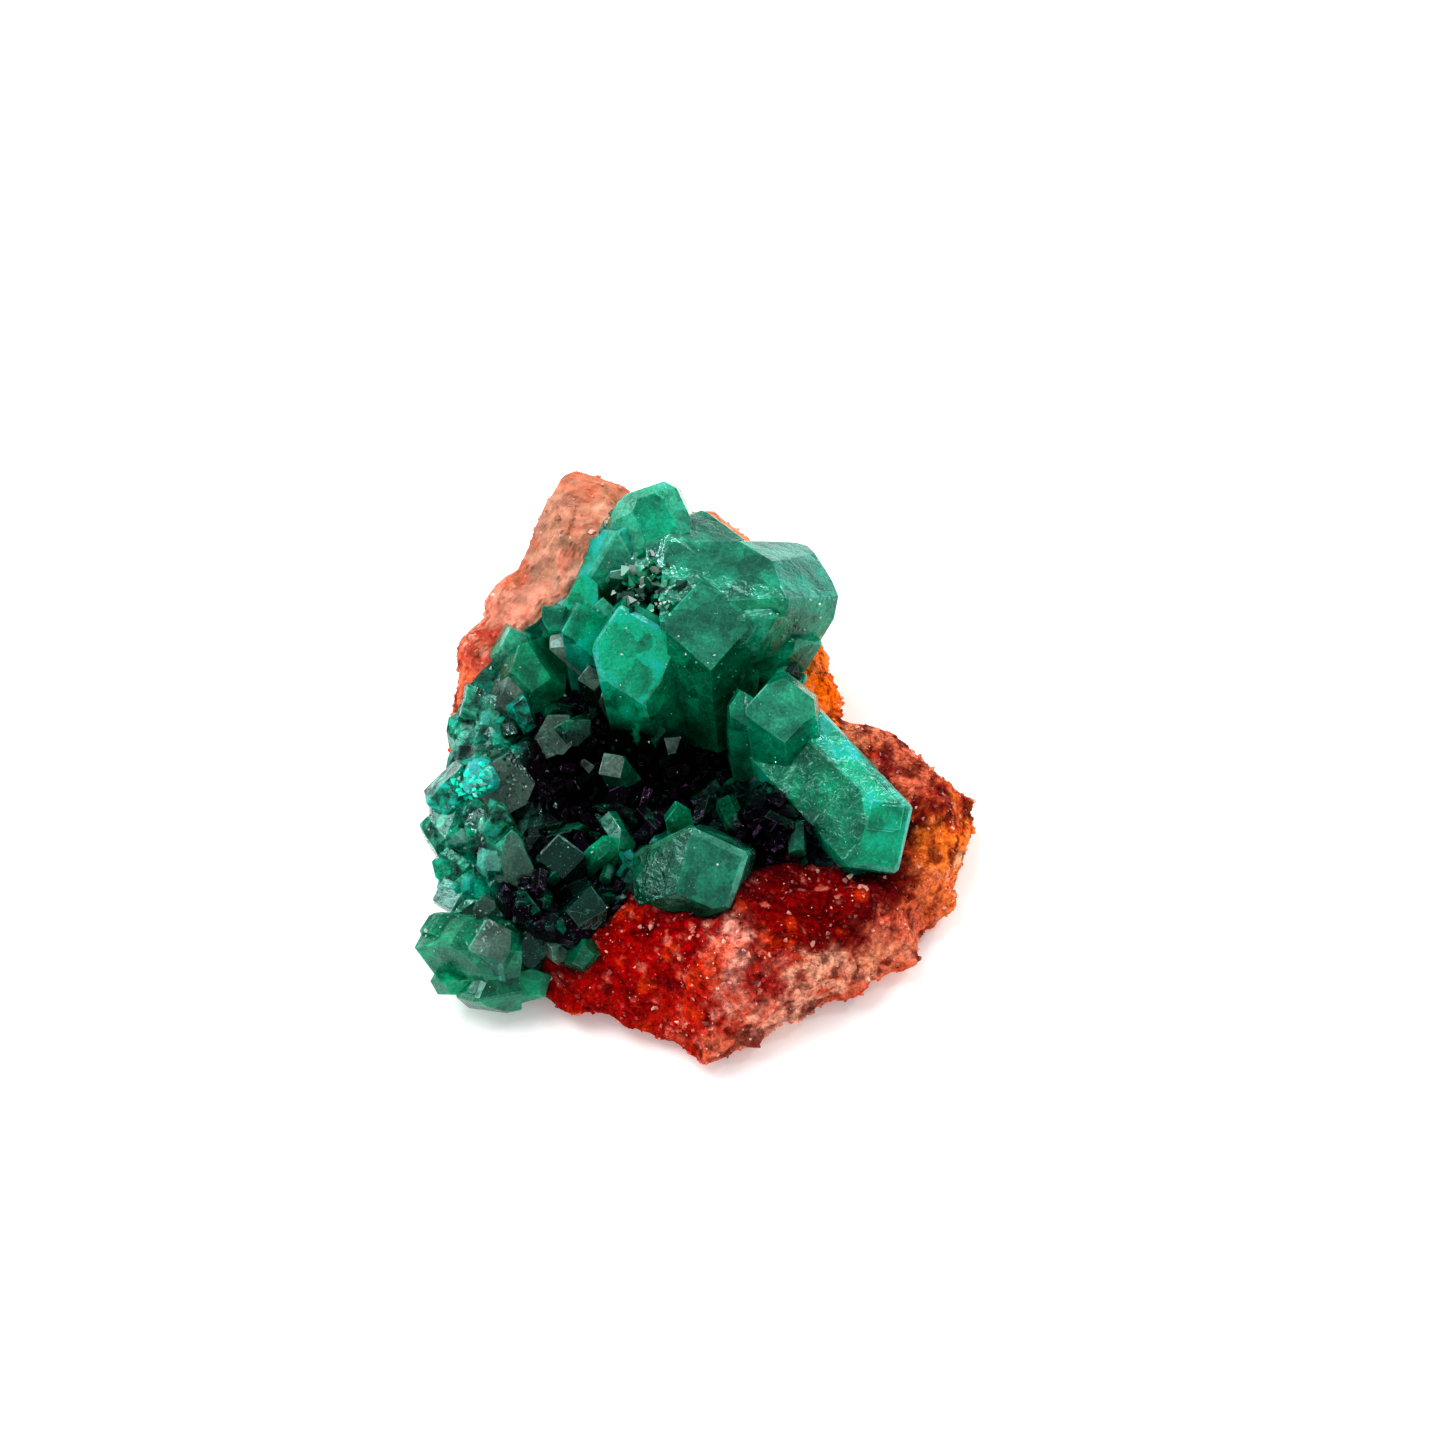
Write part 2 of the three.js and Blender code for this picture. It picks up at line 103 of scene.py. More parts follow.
# %% Noise helpers
def cell_random(cells, seed):
    """Random value from 0 to 1 for each whole-number cell: the three numbers are multiplied
    by large primes, added, and their bits are mixed twice."""
    x, y, z = np.moveaxis(cells.astype(np.int64).astype(np.uint32), -1, 0)
    mixed = x * np.uint32(374761393) + y * np.uint32(668265263) + z * np.uint32(2246822519)
    mixed = mixed + np.uint32((seed * 97 + 1) * 3266489917 % 2**32)
    mixed = (mixed ^ (mixed >> np.uint32(13))) * np.uint32(1274126177)
    mixed = (mixed ^ (mixed >> np.uint32(15))) * np.uint32(2246822519)
    return ((mixed ^ (mixed >> np.uint32(16))) / 4294967295.0)


def smooth_noise(points, size, seed):
    """Smooth noise from -1 to 1: the random values at the eight corners of a point's cell,
    blended with weights that rise as 3t^2 - 2t^3."""
    places = points / size
    cells = np.floor(places)
    t = places - cells
    t = t * t * (3 - 2 * t)
    total = 0
    for corner in itertools.product((0, 1), repeat=3):
        weight = np.prod(np.where(corner, t, 1 - t), axis=-1)
        total = total + weight * cell_random(cells + corner, seed)
    return 2 * total - 1


def rough_noise(points, size, seed, layers=4):
    """Sum of smooth noises, each with half the size and half the height of the last."""
    total = sum(smooth_noise(points, size / 2**k, seed + k) / 2**k for k in range(layers))
    return total / 1.6


def block_noise(points, size, seed):
    """Splits space into blocks of about a size. For each point it gives the block's random
    value, the offset from the block's seed as a share of the size, and how near the point
    is to the block's border (0 at the border, about 1 in the middle)."""
    home = np.floor(points / size)
    nearest = np.full(points.shape[:-1], 9.0)
    second = nearest.copy()
    value = np.zeros_like(nearest)
    offset = np.zeros_like(points)
    for step in itertools.product((-1, 0, 1), repeat=3):
        cell = home + step
        jitter = np.stack([cell_random(cell, seed + k) for k in range(3)], axis=-1)
        away = points / size - cell - jitter
        distance = np.linalg.norm(away, axis=-1)
        closer = distance < nearest
        second = np.where(closer, nearest, np.minimum(second, distance))
        nearest = np.where(closer, distance, nearest)
        value = np.where(closer, cell_random(cell, seed + 3), value)
        offset = np.where(closer[..., None], away, offset)
    return value, offset, second - nearest


print("noise of one point:", smooth_noise(np.array([[0.3, 1.7, 2.2]]), 1.0, 5))

# %% [markdown]
# ## Rock
#
# The lump is a surface of two parameters: the angle round it, and how far down from the
# middle of its top. Its plan, its crossed ridges and all its swells but two on the right
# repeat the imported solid, so it keeps that size and place. Then it is pushed in and out
# along its normals by blocks of three sizes and by fine noise, which gives the ledges,
# facets and grain of broken rock. It could be sculpted, or moved by a Displace modifier.
# Formulas are chosen because they also place the crust and shape the crystals' underside.

# %% Rock plan and height
ROCK_PLAN = np.array([
    [21.3, -0.4], [17.8, 1.8], [15.5, 3.6], [12.4, 4.3], [11.2, 5.6], [11, 7.6],
    [10, 9.6], [9.6, 12.4], [7.6, 16.4], [4.6, 19.2], [1.8, 21.4], [-4.4, 21.8], [-7, 23.2],
    [-10.3, 23.2], [-11.8, 20.4], [-13.8, 16.4], [-15.6, 14.4], [-15.6, 13.4], [-18, 10.2],
    [-18.8, 4.6], [-18.4, 0], [-18, -4.6], [-16.6, -9.2], [-14.4, -13.2], [-10.9, -16.4],
    [-7.7, -17.7], [-5.5, -18.6], [-2.5, -19.6], [2, -21.6], [4.6, -20.6], [6.9, -19.2],
    [12.4, -16], [15.6, -13.8], [17.4, -11.4], [19.8, -8.4], [20.8, -4.4],
])
CRUST_PLAN = np.array([
    [-4.6, 21], [-7, 17.2], [-8.9, 13.7], [-12, 11.6], [-14.6, 9.4], [-17, 6.2],
    [-18, 3.8], [-17.6, 0], [-17.2, -4.5], [-15.6, -9.2], [-13.2, -13], [-10.6, -14.6],
    [-8, -15.2], [-6.8, -13.5], [-6, -10.6], [-4.4, -10], [-3, -12.3], [0.5, -13],
    [3, -12.5], [4.6, -8.8], [8, -8.5], [12, -9], [15, -7.5], [16, -4],
    [14, -2], [10, 2.2], [7, 6.8], [7.4, 10], [6, 14.5], [2, 18.4],
])
CRUST_MIDDLE = np.array([-2, 3])
# rises and hollows: middle x, y, spread x, y, height
SWELLS = [
    (-9, 20, 7.5, 8, 6), (2, 17, 6, 6, 3.5), (11, 4, 5, 4, 1.2), (-3, -0.5, 8, 7.5, -4.6),
    (-10, -8, 5, 5, -2.4), (4, -15, 12, 4, 0.8), (20, -2, 4, 6, -0.9), (13, -4, 4, 4, -0.7),
    (9.5, 14, 4, 5, -2.8),
]
RIDGES = dict(count=9, longest=9.0, shrink=0.82, swing=0.055)


def plan_radius(plan, middle, angle):
    """Radius of a plan outline at angles, straight in the angle between its corners."""
    away = plan - middle
    around = np.arctan2(away[:, 1], away[:, 0])
    order = np.argsort(around)
    radii = np.hypot(away[:, 0], away[:, 1])
    return np.interp(angle, around[order], radii[order], period=2 * math.pi)


def rock_top(x, y):
    """Height of the rock's top: the face's height plus a bell curve for each swell."""
    bells = (height * np.exp(-(((x - middle_x) / spread_x) ** 2) - ((y - middle_y) / spread_y) ** 2)
             for middle_x, middle_y, spread_x, spread_y, height in SWELLS)
    return FACE_HEIGHT + sum(bells)


def ridges(x, y, z):
    """Crossed ridges: waves |sin| along nine directions spread over a ball, each shorter and
    lower than the last, with a mean height of nothing."""
    total = 0
    wavelength = RIDGES["longest"]
    for k in range(RIDGES["count"]):
        level = 1 - (2 * k + 1) / RIDGES["count"]
        flat = math.sqrt(1 - level * level)
        along = x * flat * math.cos(2.4 * k) + y * flat * math.sin(2.4 * k) + z * level
        wave = 4 / math.pi - 2 * np.abs(np.sin(math.pi * along / wavelength + k))
        total = total + RIDGES["swing"] * wavelength * wave
        wavelength *= RIDGES["shrink"]
    return total


print("rock top at the middle:", round(float(rock_top(0.0, 0.0)), 2), "mm")

# %% Rock surface
# how far the brow lies inside the plan at the back and in front, how high the girth lies in
# front, and what share of the brow's height it has at the back
BROW_INSET = (1, 4.2)
FRONT_GIRTH, BACK_GIRTH = 2, 0.75


def mix(start, end, share):
    """Value that lies a share of the way from a start to an end."""
    return start + (end - start) * share


def rock_grid(around, top, side, foot):
    """Points of the rock on a grid of angle and ring. Top rings spread from the middle to
    the brow, side rings bend down to the girth, and foot rings drop to the ground."""
    angle = -math.pi + np.arange(around) * 2 * math.pi / around
    c, s = np.cos(angle), np.sin(angle)
    front = np.clip(0.5 - 0.9 * s, 0, 1)
    radius = plan_radius(ROCK_PLAN, np.zeros(2), angle)
    brow = radius - mix(*BROW_INSET, front)
    brow_height = rock_top(brow * c, brow * s)
    girth = mix(BACK_GIRTH * brow_height, FRONT_GIRTH, front)
    lift = ridges(brow * c, brow * s, brow_height)
    rings = []
    for share in np.linspace(0.02, 1, top) ** 0.8:
        x, y = brow * share * c, brow * share * s
        z = rock_top(x, y)
        rings.append(np.stack([x, y, z + ridges(x, y, z)], axis=-1))
    for down in np.arange(1, side + 1) / side:
        level = mix(brow_height, girth, down**1.3)
        r = mix(brow, radius, down**0.8)
        r = r + 0.8 * ridges(r * c, r * s, level) * down
        rings.append(np.stack([r * c, r * s, level + lift * (1 - down)], axis=-1))
    for down in np.arange(1, foot + 1) / foot:
        level = girth * (1 - down)
        rough = 0.8 * ridges(radius * c, radius * s, level) * (1 - 0.5 * down)
        r = radius * (1 - 0.1 * down * down) + rough
        rings.append(np.stack([r * c, r * s, level], axis=-1))
    return np.array(rings)


def grid_normals(grid):
    """Unit normals of a grid that closes on itself round: the cross product of the step
    round and the step down."""
    step_round = np.roll(grid, -1, axis=1) - np.roll(grid, 1, axis=1)
    step_down = np.gradient(grid, axis=0)
    normal = np.cross(step_down, step_round)
    return normal / np.maximum(np.linalg.norm(normal, axis=-1, keepdims=True), 1e-9)


print("smooth rock, coarse grid:", rock_grid(36, 8, 5, 2).shape)

# %% Broken relief
# blocks of the broken relief: size, height, seed
RELIEF_BLOCKS = [(2.6, 0.26, 21), (1.1, 0.13, 31), (0.5, 0.05, 41)]
BLOCK_TILT = np.array([1.2, -1.0, 0.8])
GROOVE_DEPTH, GROOVE_WIDTH = 0.35, 0.12


def broken_relief(points):
    """Height of the breaks: tilted facets on blocks of three sizes, with a groove along the
    borders of the blocks, plus fine noise."""
    height = 0.14 * rough_noise(points, 1.6, 11)
    for size, swing, seed in RELIEF_BLOCKS:
        bent = points + 0.25 * size * smooth_noise(points, size, seed)[..., None]
        value, offset, border = block_noise(bent, size, seed)
        tilt = BLOCK_TILT * (value[..., None] - 0.5)
        height = height + swing * ((value - 0.5) + (offset * tilt).sum(-1))
        height = height - GROOVE_DEPTH * swing * np.clip(1 - border / GROOVE_WIDTH, 0, 1)
    return height


def crust_share(points):
    """How far out a point lies on the crust's plan: under 1 inside it, over 1 outside."""
    away = points[..., :2] - CRUST_MIDDLE
    angle = np.arctan2(away[..., 1], away[..., 0])
    return np.hypot(away[..., 0], away[..., 1]) / plan_radius(CRUST_PLAN, CRUST_MIDDLE, angle)


rock = rock_grid(around=520, top=100, side=56, foot=14)
# the relief fades out over the lowest 0.8 mm, is calmer up the face, and lifts the rock a
# little under the crust
above_foot = np.clip(rock[..., 2] / 0.8, 0, 1)
calm = 1 - 0.35 * np.clip((face_place(rock)[..., 1] - 4) / 8, 0, 1)
relief = broken_relief(rock) * above_foot * calm
relief = relief + 0.14 * (crust_share(rock) < 0.98)
rock = rock + grid_normals(rock) * relief[..., None]
rock[..., 2] = np.maximum(rock[..., 2], 0)
print("rock grid", rock.shape, "from", rock.min(axis=(0, 1)).round(2), "to", rock.max(axis=(0, 1)).round(2))

# %% [markdown]
# The rock's colour changes from place to place: salmon at the back, orange at the right,
# and deep red where fresh iron-stained rock shows in front. It could be painted on an image.
# It is stored on the mesh's points instead, so that the loose grains can take the colour of
# the rock that they lie on. Each patch is a bell on the face. A point takes the mean of the
# patch colours, weighted by the bells, and noise bends the places first so that no border
# is smooth.

# %% Rock colours
def linear(*colour):
    """Linear colour of a screen colour given from 0 to 255."""
    share = np.array(colour) / 255
    return np.where(share <= 0.04045, share / 12.92, ((share + 0.055) / 1.055) ** 2.4)


# across, up, spread across, spread up, weight, colour
ROCK_PATCHES = [
    (-11, 19.5, 5, 4, 1, linear(184, 136, 118)),
    (-7, 21.5, 3, 2, 1, linear(216, 132, 102)),
    (-11.5, 15, 3, 2, 1, linear(190, 146, 132)),
    (-13, 12.6, 4, 1, 1.6, linear(238, 166, 144)),
    (-16.5, 9, 2, 3, 1, linear(192, 90, 74)),
    (-17.8, 5, 1.4, 3, 1, linear(222, 118, 84)),
    (3, 19, 3, 2, 1, linear(224, 150, 116)),
    (8.8, 6.4, 2.2, 2.6, 3, linear(255, 130, 4)),
    (12, 2.2, 3, 1.2, 1.2, linear(228, 142, 108)),
    (13, 0.4, 3.4, 1.4, 1.2, linear(150, 40, 40)),
    (16.5, -0.2, 2, 1.4, 1.8, linear(234, 132, 100)),
    (18.4, -2.8, 1.8, 1.2, 1.3, linear(122, 6, 22)),
    (20.4, -1.2, 1, 1, 1, linear(190, 72, 64)),
    (19.6, -6.4, 1.6, 3, 1.8, linear(246, 136, 54)),
    (18, -9.6, 1.6, 1.8, 1, linear(240, 138, 90)),
    (16, -12.6, 2.4, 1.4, 1, linear(220, 120, 92)),
    (9, -9.6, 5, 2.4, 1.6, linear(126, 0, 2)),
    (13, -9.7, 2, 1.6, 1.4, linear(128, 2, 8)),
    (0, -13, 4, 2, 1.4, linear(150, 0, 2)),
    (-4, -15, 3, 2.4, 1.4, linear(160, 4, 2)),
    (0, -18, 3, 2, 1, linear(180, 34, 18)),
    (3, -14.4, 1.1, 2, 2.2, linear(244, 178, 160)),
    (5.6, -15.6, 2, 1.4, 1.2, linear(170, 40, 38)),
    (4.6, -18, 1.6, 1, 1, linear(214, 96, 66)),
    (9.4, -15.4, 1.8, 1, 1.6, linear(240, 178, 150)),
    (7, -19, 2, 1, 1.6, linear(238, 172, 148)),
    (11.6, -17, 2, 1, 1, linear(212, 96, 66)),
    (2.6, -20.8, 2, 1, 1.2, linear(216, 122, 94)),
    (20.6, -8, 0.9, 1.6, 1.2, linear(248, 186, 146)),
    (14.6, -14.4, 1.6, 0.8, 1, linear(240, 166, 132)),
]
# blotches over the patches, first in the red part and then in the pale part: lump size,
# seed, noise where they start and where they are full, strength, colour
ROCK_BLOTCHES = [
    (1.8, 71, 0.2, 0.4, 0.55, linear(216, 74, 16)),
    (1.2, 72, 0.12, 0.35, 0.7, linear(96, 0, 8)),
    (0.9, 73, 0.35, 0.5, 0.4, linear(240, 150, 130)),
]
PALE_BLOTCHES = [
    (3.2, 75, 0.05, 0.4, 0.8, linear(196, 146, 122)),
    (2.2, 76, 0.2, 0.5, 0.6, linear(226, 118, 80)),
    (1.6, 77, 0.2, 0.5, 0.8, linear(246, 178, 156)),
    (1.1, 78, 0.25, 0.5, 0.4, linear(176, 62, 44)),
]
# painted shadow: the dark red-purple that the crystals' shade paints on the rock in front
CRUST_SHADOW_COLOUR = linear(70, 0, 22)
PATCH_BEND, BEND_SIZE = 0.9, 2.4
BORDER_BREAKS, BREAK_SIZE = 4, 0.9
print(len(ROCK_PATCHES), "patches,", len(ROCK_BLOTCHES) + len(PALE_BLOTCHES), "kinds of blotches")


# %% Rock tint
def rock_colours(points):
    """Colour of points on the rock: patch colours weighted by bells of bent places, each
    times e to the fourth power of its own noise, which makes the borders between them
    crisp and broken. In front, close to the crust's edge, the rock is darkened with the
    painted shadow of the crystals."""
    place = face_place(points)
    bend = np.stack([rough_noise(points, BEND_SIZE, seed) for seed in (51, 61)], axis=-1)
    spot = place[..., :2] + PATCH_BEND * bend
    total = np.zeros(points.shape)
    weights = np.full(points.shape[:-1], 1e-9)
    for k, (across, up, wide, high, weight, colour) in enumerate(ROCK_PATCHES):
        away = ((spot[..., 0] - across) / wide) ** 2 + ((spot[..., 1] - up) / high) ** 2
        patchy = np.exp(BORDER_BREAKS * rough_noise(points, BREAK_SIZE, 300 + 7 * k, layers=3))
        share = patchy * weight * (np.exp(-away) + 1e-4 / (1 + away))
        total = total + share[..., None] * colour
        weights = weights + share
    colour = total / weights[..., None]
    above = np.clip((place[..., 1] - 6) / 3, 0, 1)
    for blotches, where in ((ROCK_BLOTCHES, 1 - above), (PALE_BLOTCHES, above)):
        for size, seed, start, full, strength, blotch in blotches:
            share = (rough_noise(points, size, seed, layers=3) - start) / (full - start)
            colour = mix(colour, blotch, (where * strength * np.clip(share, 0, 1))[..., None])
    # painted shadow of the crystals: the rock darkens towards the crust's edge in front
    crust_shadow = np.clip(1 - (crust_share(points) - 0.96) / 0.16, 0, 1) * (points[..., 1] < -4)
    return mix(colour, CRUST_SHADOW_COLOUR, 0.85 * crust_shadow[..., None])


rock_tint = rock_colours(rock)
print("rock colours from", rock_tint.min(axis=(0, 1)).round(3), "to", rock_tint.max(axis=(0, 1)).round(3))

# %% Mesh helpers
def new_piece(name, points, faces):
    """Object at the origin from points in millimetres and a list or array of faces."""
    mesh = bpy.data.meshes.new(name)
    mesh.from_pydata((np.asarray(points) * MM).tolist(), [], [list(face) for face in faces])
    mesh.update()
    piece = bpy.data.objects.new(name, mesh)
    bpy.context.scene.collection.objects.link(piece)
    return piece


VALUE_NAMES = dict(FLOAT="value", INT="value", FLOAT_COLOR="color", FLOAT_VECTOR="vector")


def store(piece, name, values, kind="FLOAT_COLOR", domain="CORNER"):
    """Stores an attribute of a piece: one number, vector or colour for each corner of its
    faces, each point or each face."""
    layer = piece.data.attributes.new(name, kind, domain)
    values = np.asarray(values)
    if kind == "FLOAT_COLOR":
        values = np.column_stack([np.clip(values, 0, 1), np.ones(len(values))])
    values = values.astype(np.int32 if kind == "INT" else np.float32)
    layer.data.foreach_set(VALUE_NAMES[kind], values.ravel())


def per_corner(values, faces):
    """Repeats the value of each face for all of its corners."""
    return np.repeat(values, [len(face) for face in faces], axis=0)


def grid_faces(rings, around):
    """Quads between neighbouring rings of a grid that closes on itself round."""
    ring, spoke = np.meshgrid(np.arange(rings - 1), np.arange(around), indexing="ij")
    a = ring * around + spoke
    b = ring * around + (spoke + 1) % around
    return np.stack([a, a + around, b + around, b], axis=-1).reshape(-1, 4)


def end_fan(first, around, middle, flip):
    """Triangles from one ring to a middle point."""
    spoke = np.arange(around)
    a, b = first + spoke, first + (spoke + 1) % around
    pair = (b, a) if flip else (a, b)
    return np.stack([*pair, np.full(around, middle)], axis=-1)


def closed_grid(grid, bottom):
    """Points and faces of a closed shell from a grid that closes on itself round: its quads,
    a fan to the middle of its first ring, and a fan from its last ring to a bottom point."""
    rings, around = grid.shape[:2]
    faces = grid_faces(rings, around).tolist()
    faces += end_fan(0, around, rings * around, flip=False).tolist()
    faces += end_fan((rings - 1) * around, around, rings * around + 1, flip=True).tolist()
    return np.concatenate([grid.reshape(-1, 3), [grid[0].mean(axis=0)], [bottom]]), faces


print("faces of a closed grid of 4 by 6 points:", len(closed_grid(np.zeros((4, 6, 3)), [0, 0, 0])[1]))

# %% Rock piece
matrix_rock = new_piece("matrix_rock", *closed_grid(rock, bottom=[0, 0, 0]))
ends = np.stack([rock_tint[0].mean(axis=0), rock_tint[-1].mean(axis=0)])
store(matrix_rock, "rock_tint", np.concatenate([rock_tint.reshape(-1, 3), ends]), domain="POINT")
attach(matrix_rock, "root")
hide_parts("matrix")
print("matrix_rock faces", len(matrix_rock.data.polygons))

# %% [markdown]
# Loose grains of broken crystal lie all over the rock. They catch the light as bright specks
# and soften the outline. Geometry Nodes could strew them, but here they are one plain mesh.
# A grain is the space inside a dozen or so random planes. A few shapes are worked out once
# and set down thousands of times, more on large cells of the rock's grid than on small ones,
# so that they spread evenly, and fewer up the face.

# %% Solids from planes
def corner_points(planes):
    """Corners of the solid inside planes [nx, ny, nz, distance]: every meeting point of
    three planes that no other plane cuts off."""
    trios = np.array(list(itertools.combinations(range(len(planes)), 3)))
    normals = planes[trios][:, :, :3]
    sound = np.abs(np.linalg.det(normals)) > 1e-5
    points = np.linalg.solve(normals[sound], planes[trios[sound]][:, :, 3:])[:, :, 0]
    points = points[(points @ planes[:, :3].T <= planes[:, 3] + 1e-7).all(axis=1)]
    same = np.linalg.norm(points[:, None] - points[None], axis=-1) < 1e-4
    return points[np.unique(same.argmax(axis=1))]


def plane_faces(points, planes):
    """Faces of that solid, with the number of the plane of each: the corners on a plane,
    in order of their angle about the middle of the face."""
    faces = []
    owners = []
    on_plane = np.abs(points @ planes[:, :3].T - planes[:, 3]) < 1e-4
    for k, normal in enumerate(planes[:, :3]):
        corners = np.flatnonzero(on_plane[:, k])
        if len(corners) < 3:
            continue
        away = points[corners] - points[corners].mean(axis=0)
        across = np.cross(normal, [0.31, 0.52, 0.79])
        angle = np.arctan2(away @ np.cross(normal, across), away @ across)
        faces.append(corners[np.argsort(angle)])
        owners.append(k)
    return faces, owners


def is_closed(faces):
    """Whether every edge is walked once in each direction, as on a closed shell."""
    steps = [(a, b) for face in faces for a, b in zip(face, np.roll(face, -1))]
    return len(set(steps)) == len(steps) and all((b, a) in set(steps) for a, b in steps)


cube = np.concatenate([np.hstack([side * np.eye(3), np.ones((3, 1))]) for side in (1, -1)])
print("corners of a cube from its six planes:", len(corner_points(cube)))


# %% Grain shapes and placing
def set_down(shapes, tips, axes, widths):
    """Copies of the shapes as one list of points and faces. Copy number k is shape k modulo
    their count. The last result gives the copy that each face belongs to."""
    points, faces, owners = [], [], []
    first = 0
    for k, (corners, shape_faces) in enumerate(shapes):
        chosen = np.arange(k, len(tips), len(shapes))
        turned = np.einsum("ij,nkj->nik", corners, axes[chosen])
        copies = tips[chosen, None] + widths[chosen, None, None] * turned
        points.append(copies.reshape(-1, 3))
        for face in shape_faces:
            numbers = first + np.arange(len(chosen))[:, None] * len(corners) + np.array(face)
            faces += numbers.tolist()
            owners.append(chosen)
        first += len(points[-1])
    return np.concatenate(points), faces, np.concatenate(owners)


def random_axes(normals, lean, random):
    """Columns first, second and axis for each normal: the axis is the normal plus a random
    vector of up to the lean, and the other two stand square to it at a random turn."""
    axis = normals + lean * random.normal(size=normals.shape)
    axis = axis / np.linalg.norm(axis, axis=1, keepdims=True)
    first = np.cross(axis, random.normal(size=normals.shape))
    first = first / np.linalg.norm(first, axis=1, keepdims=True)
    return np.stack([first, np.cross(axis, first), axis], axis=-1)


def random_planes(count, random):
    """Planes that face random ways at random distances, for a broken lump about two wide."""
    facing = random.normal(size=(count, 3))
    facing = facing / np.linalg.norm(facing, axis=1, keepdims=True)
    return np.column_stack([facing, random.uniform(0.7, 1.1, count)])


def grain_shapes(count, sides):
    """Broken lumps about one unit wide, cut from a number of planes: few make sharp splinters
    and many make round grains."""
    random = np.random.default_rng(12)
    shapes = []
    while len(shapes) < count:
        planes = random_planes(sides, random)
        corners = corner_points(planes)
        faces, _ = plane_faces(corners, planes)
        if len(corners) and is_closed(faces) and np.abs(corners).max() < 1.8:
            shapes.append((corners / 2, faces))
    return shapes


print("corners of three broken lumps:", [len(corners) for corners, _ in grain_shapes(3, 13)])

# %% Rock grains
GRAIN_COUNT = 3600
# width of the thinnest grains, and how much wider the widest are
THINNEST_GRAIN, GRAIN_SPREAD = 0.11, 0.34
random = np.random.default_rng(58)
step_round = np.linalg.norm(np.roll(rock, -1, axis=1) - rock, axis=-1)
step_down = np.linalg.norm(np.gradient(rock, axis=0), axis=-1)
bare = (crust_share(rock) > 0.95) & (rock[..., 2] > 0.5)
chance = (step_round * step_down * bare * calm**3).ravel()
chosen = random.choice(len(chance), GRAIN_COUNT, p=chance / chance.sum())
spots = rock.reshape(-1, 3)[chosen]
normals = grid_normals(rock).reshape(-1, 3)[chosen]
widths = THINNEST_GRAIN + GRAIN_SPREAD * random.uniform(size=GRAIN_COUNT) ** 3
height = random.uniform(-0.4, 0.05, GRAIN_COUNT) * widths
tips = spots + normals * height[:, None]
axes = random_axes(normals, 1.0, random)
grain_points, grain_faces, grain_owner = set_down(grain_shapes(7, 13), tips, axes, widths)
rock_grains = new_piece("rock_grains", grain_points, grain_faces)
own = rock_tint.reshape(-1, 3)[chosen]
pale = random.uniform(size=(GRAIN_COUNT, 1)) ** 7
grain_tint = mix(own * random.uniform(0.7, 1.3, (GRAIN_COUNT, 1)), linear(250, 206, 192), pale)
grain_tint = grain_tint[grain_owner] * random.uniform(0.85, 1.15, (len(grain_faces), 1))
store(rock_grains, "rock_tint", per_corner(grain_tint, grain_faces))
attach(rock_grains, "root")
print("rock grains", GRAIN_COUNT, "with", len(grain_faces), "faces")

# %% [markdown]
# ## Crystals
#
# A crystal is the space inside a few planes: six sides, three slanting end faces and a
# root. A cylinder with six sides and a Bevel modifier would look machined, with every edge
# the same. Worked out from planes, every extra plane simply cuts the shape again. So each edge
# gets a narrow plane that blunts it, and each large face gets a few planes tilted by a
# degree or two. Those are the growth hills of a real crystal face, and they break up its
# reflection. Planes set across corners break them off. The corners of the shape are where
# three planes meet.

# %% Main planes of a crystal
RHOMB_TILT = math.radians(51)


def main_planes(width, length, cut, chip):
    """Root, six sides and three end faces, in the order root, p0 to p5, r0 to r2, chip."""
    turn = np.radians(30 + 60 * np.arange(6))
    side = np.stack([np.cos(turn), np.sin(turn), 0 * turn, 0 * turn + width / 2], axis=-1)
    turn = np.radians(120 * np.arange(3))
    flat = math.sin(RHOMB_TILT)
    steep = math.cos(RHOMB_TILT)
    end = np.stack([flat * np.cos(turn), flat * np.sin(turn), 0 * turn + steep, 0 * turn], axis=-1)
    side[:, 3] += [cut.get(f"p{k}", 0) for k in range(6)]
    end[:, 3] += [cut.get(f"r{k}", 0) for k in range(3)]
    planes = [np.array([[0, 0, -1, length]]), side, end]
    if chip:
        planes.append(np.array([chip]))
    return np.concatenate(planes)


print("plain crystal corners", len(corner_points(main_planes(4, 6, {}, None))))


# %% Worn, broken and growing faces
def round_planes(planes, radius, random):
    """Planes that round the edges and corners of a solid, as rolling a ball inside it would.
    The solid is first shrunk by the radius. A plane facing any way then lies one radius
    outside the farthest corner of the shrunken solid. One is made for each edge, between
    its two faces, and one for each corner, between its faces."""
    shrunken = planes - [0, 0, 0, radius]
    shrunken[0, 3] += radius
    points = corner_points(shrunken)
    on_plane = np.abs(points @ shrunken[:, :3].T - shrunken[:, 3]) < 1e-4
    facing = []
    for i, j in itertools.combinations(range(1, len(planes)), 2):
        if (on_plane[:, i] & on_plane[:, j]).sum() >= 2:
            share = random.uniform(0.35, 0.65)
            facing.append(mix(planes[i, :3], planes[j, :3], share))
    for touching in on_plane[:, 1:]:
        if touching.sum() >= 3:
            facing.append(random.dirichlet(np.full(touching.sum(), 8)) @ planes[1:, :3][touching])
    facing = np.array(facing) / np.linalg.norm(facing, axis=1, keepdims=True)
    reach = (facing @ points.T).max(axis=1) + radius * random.uniform(0.8, 1.0, len(facing))
    return np.column_stack([facing, reach])


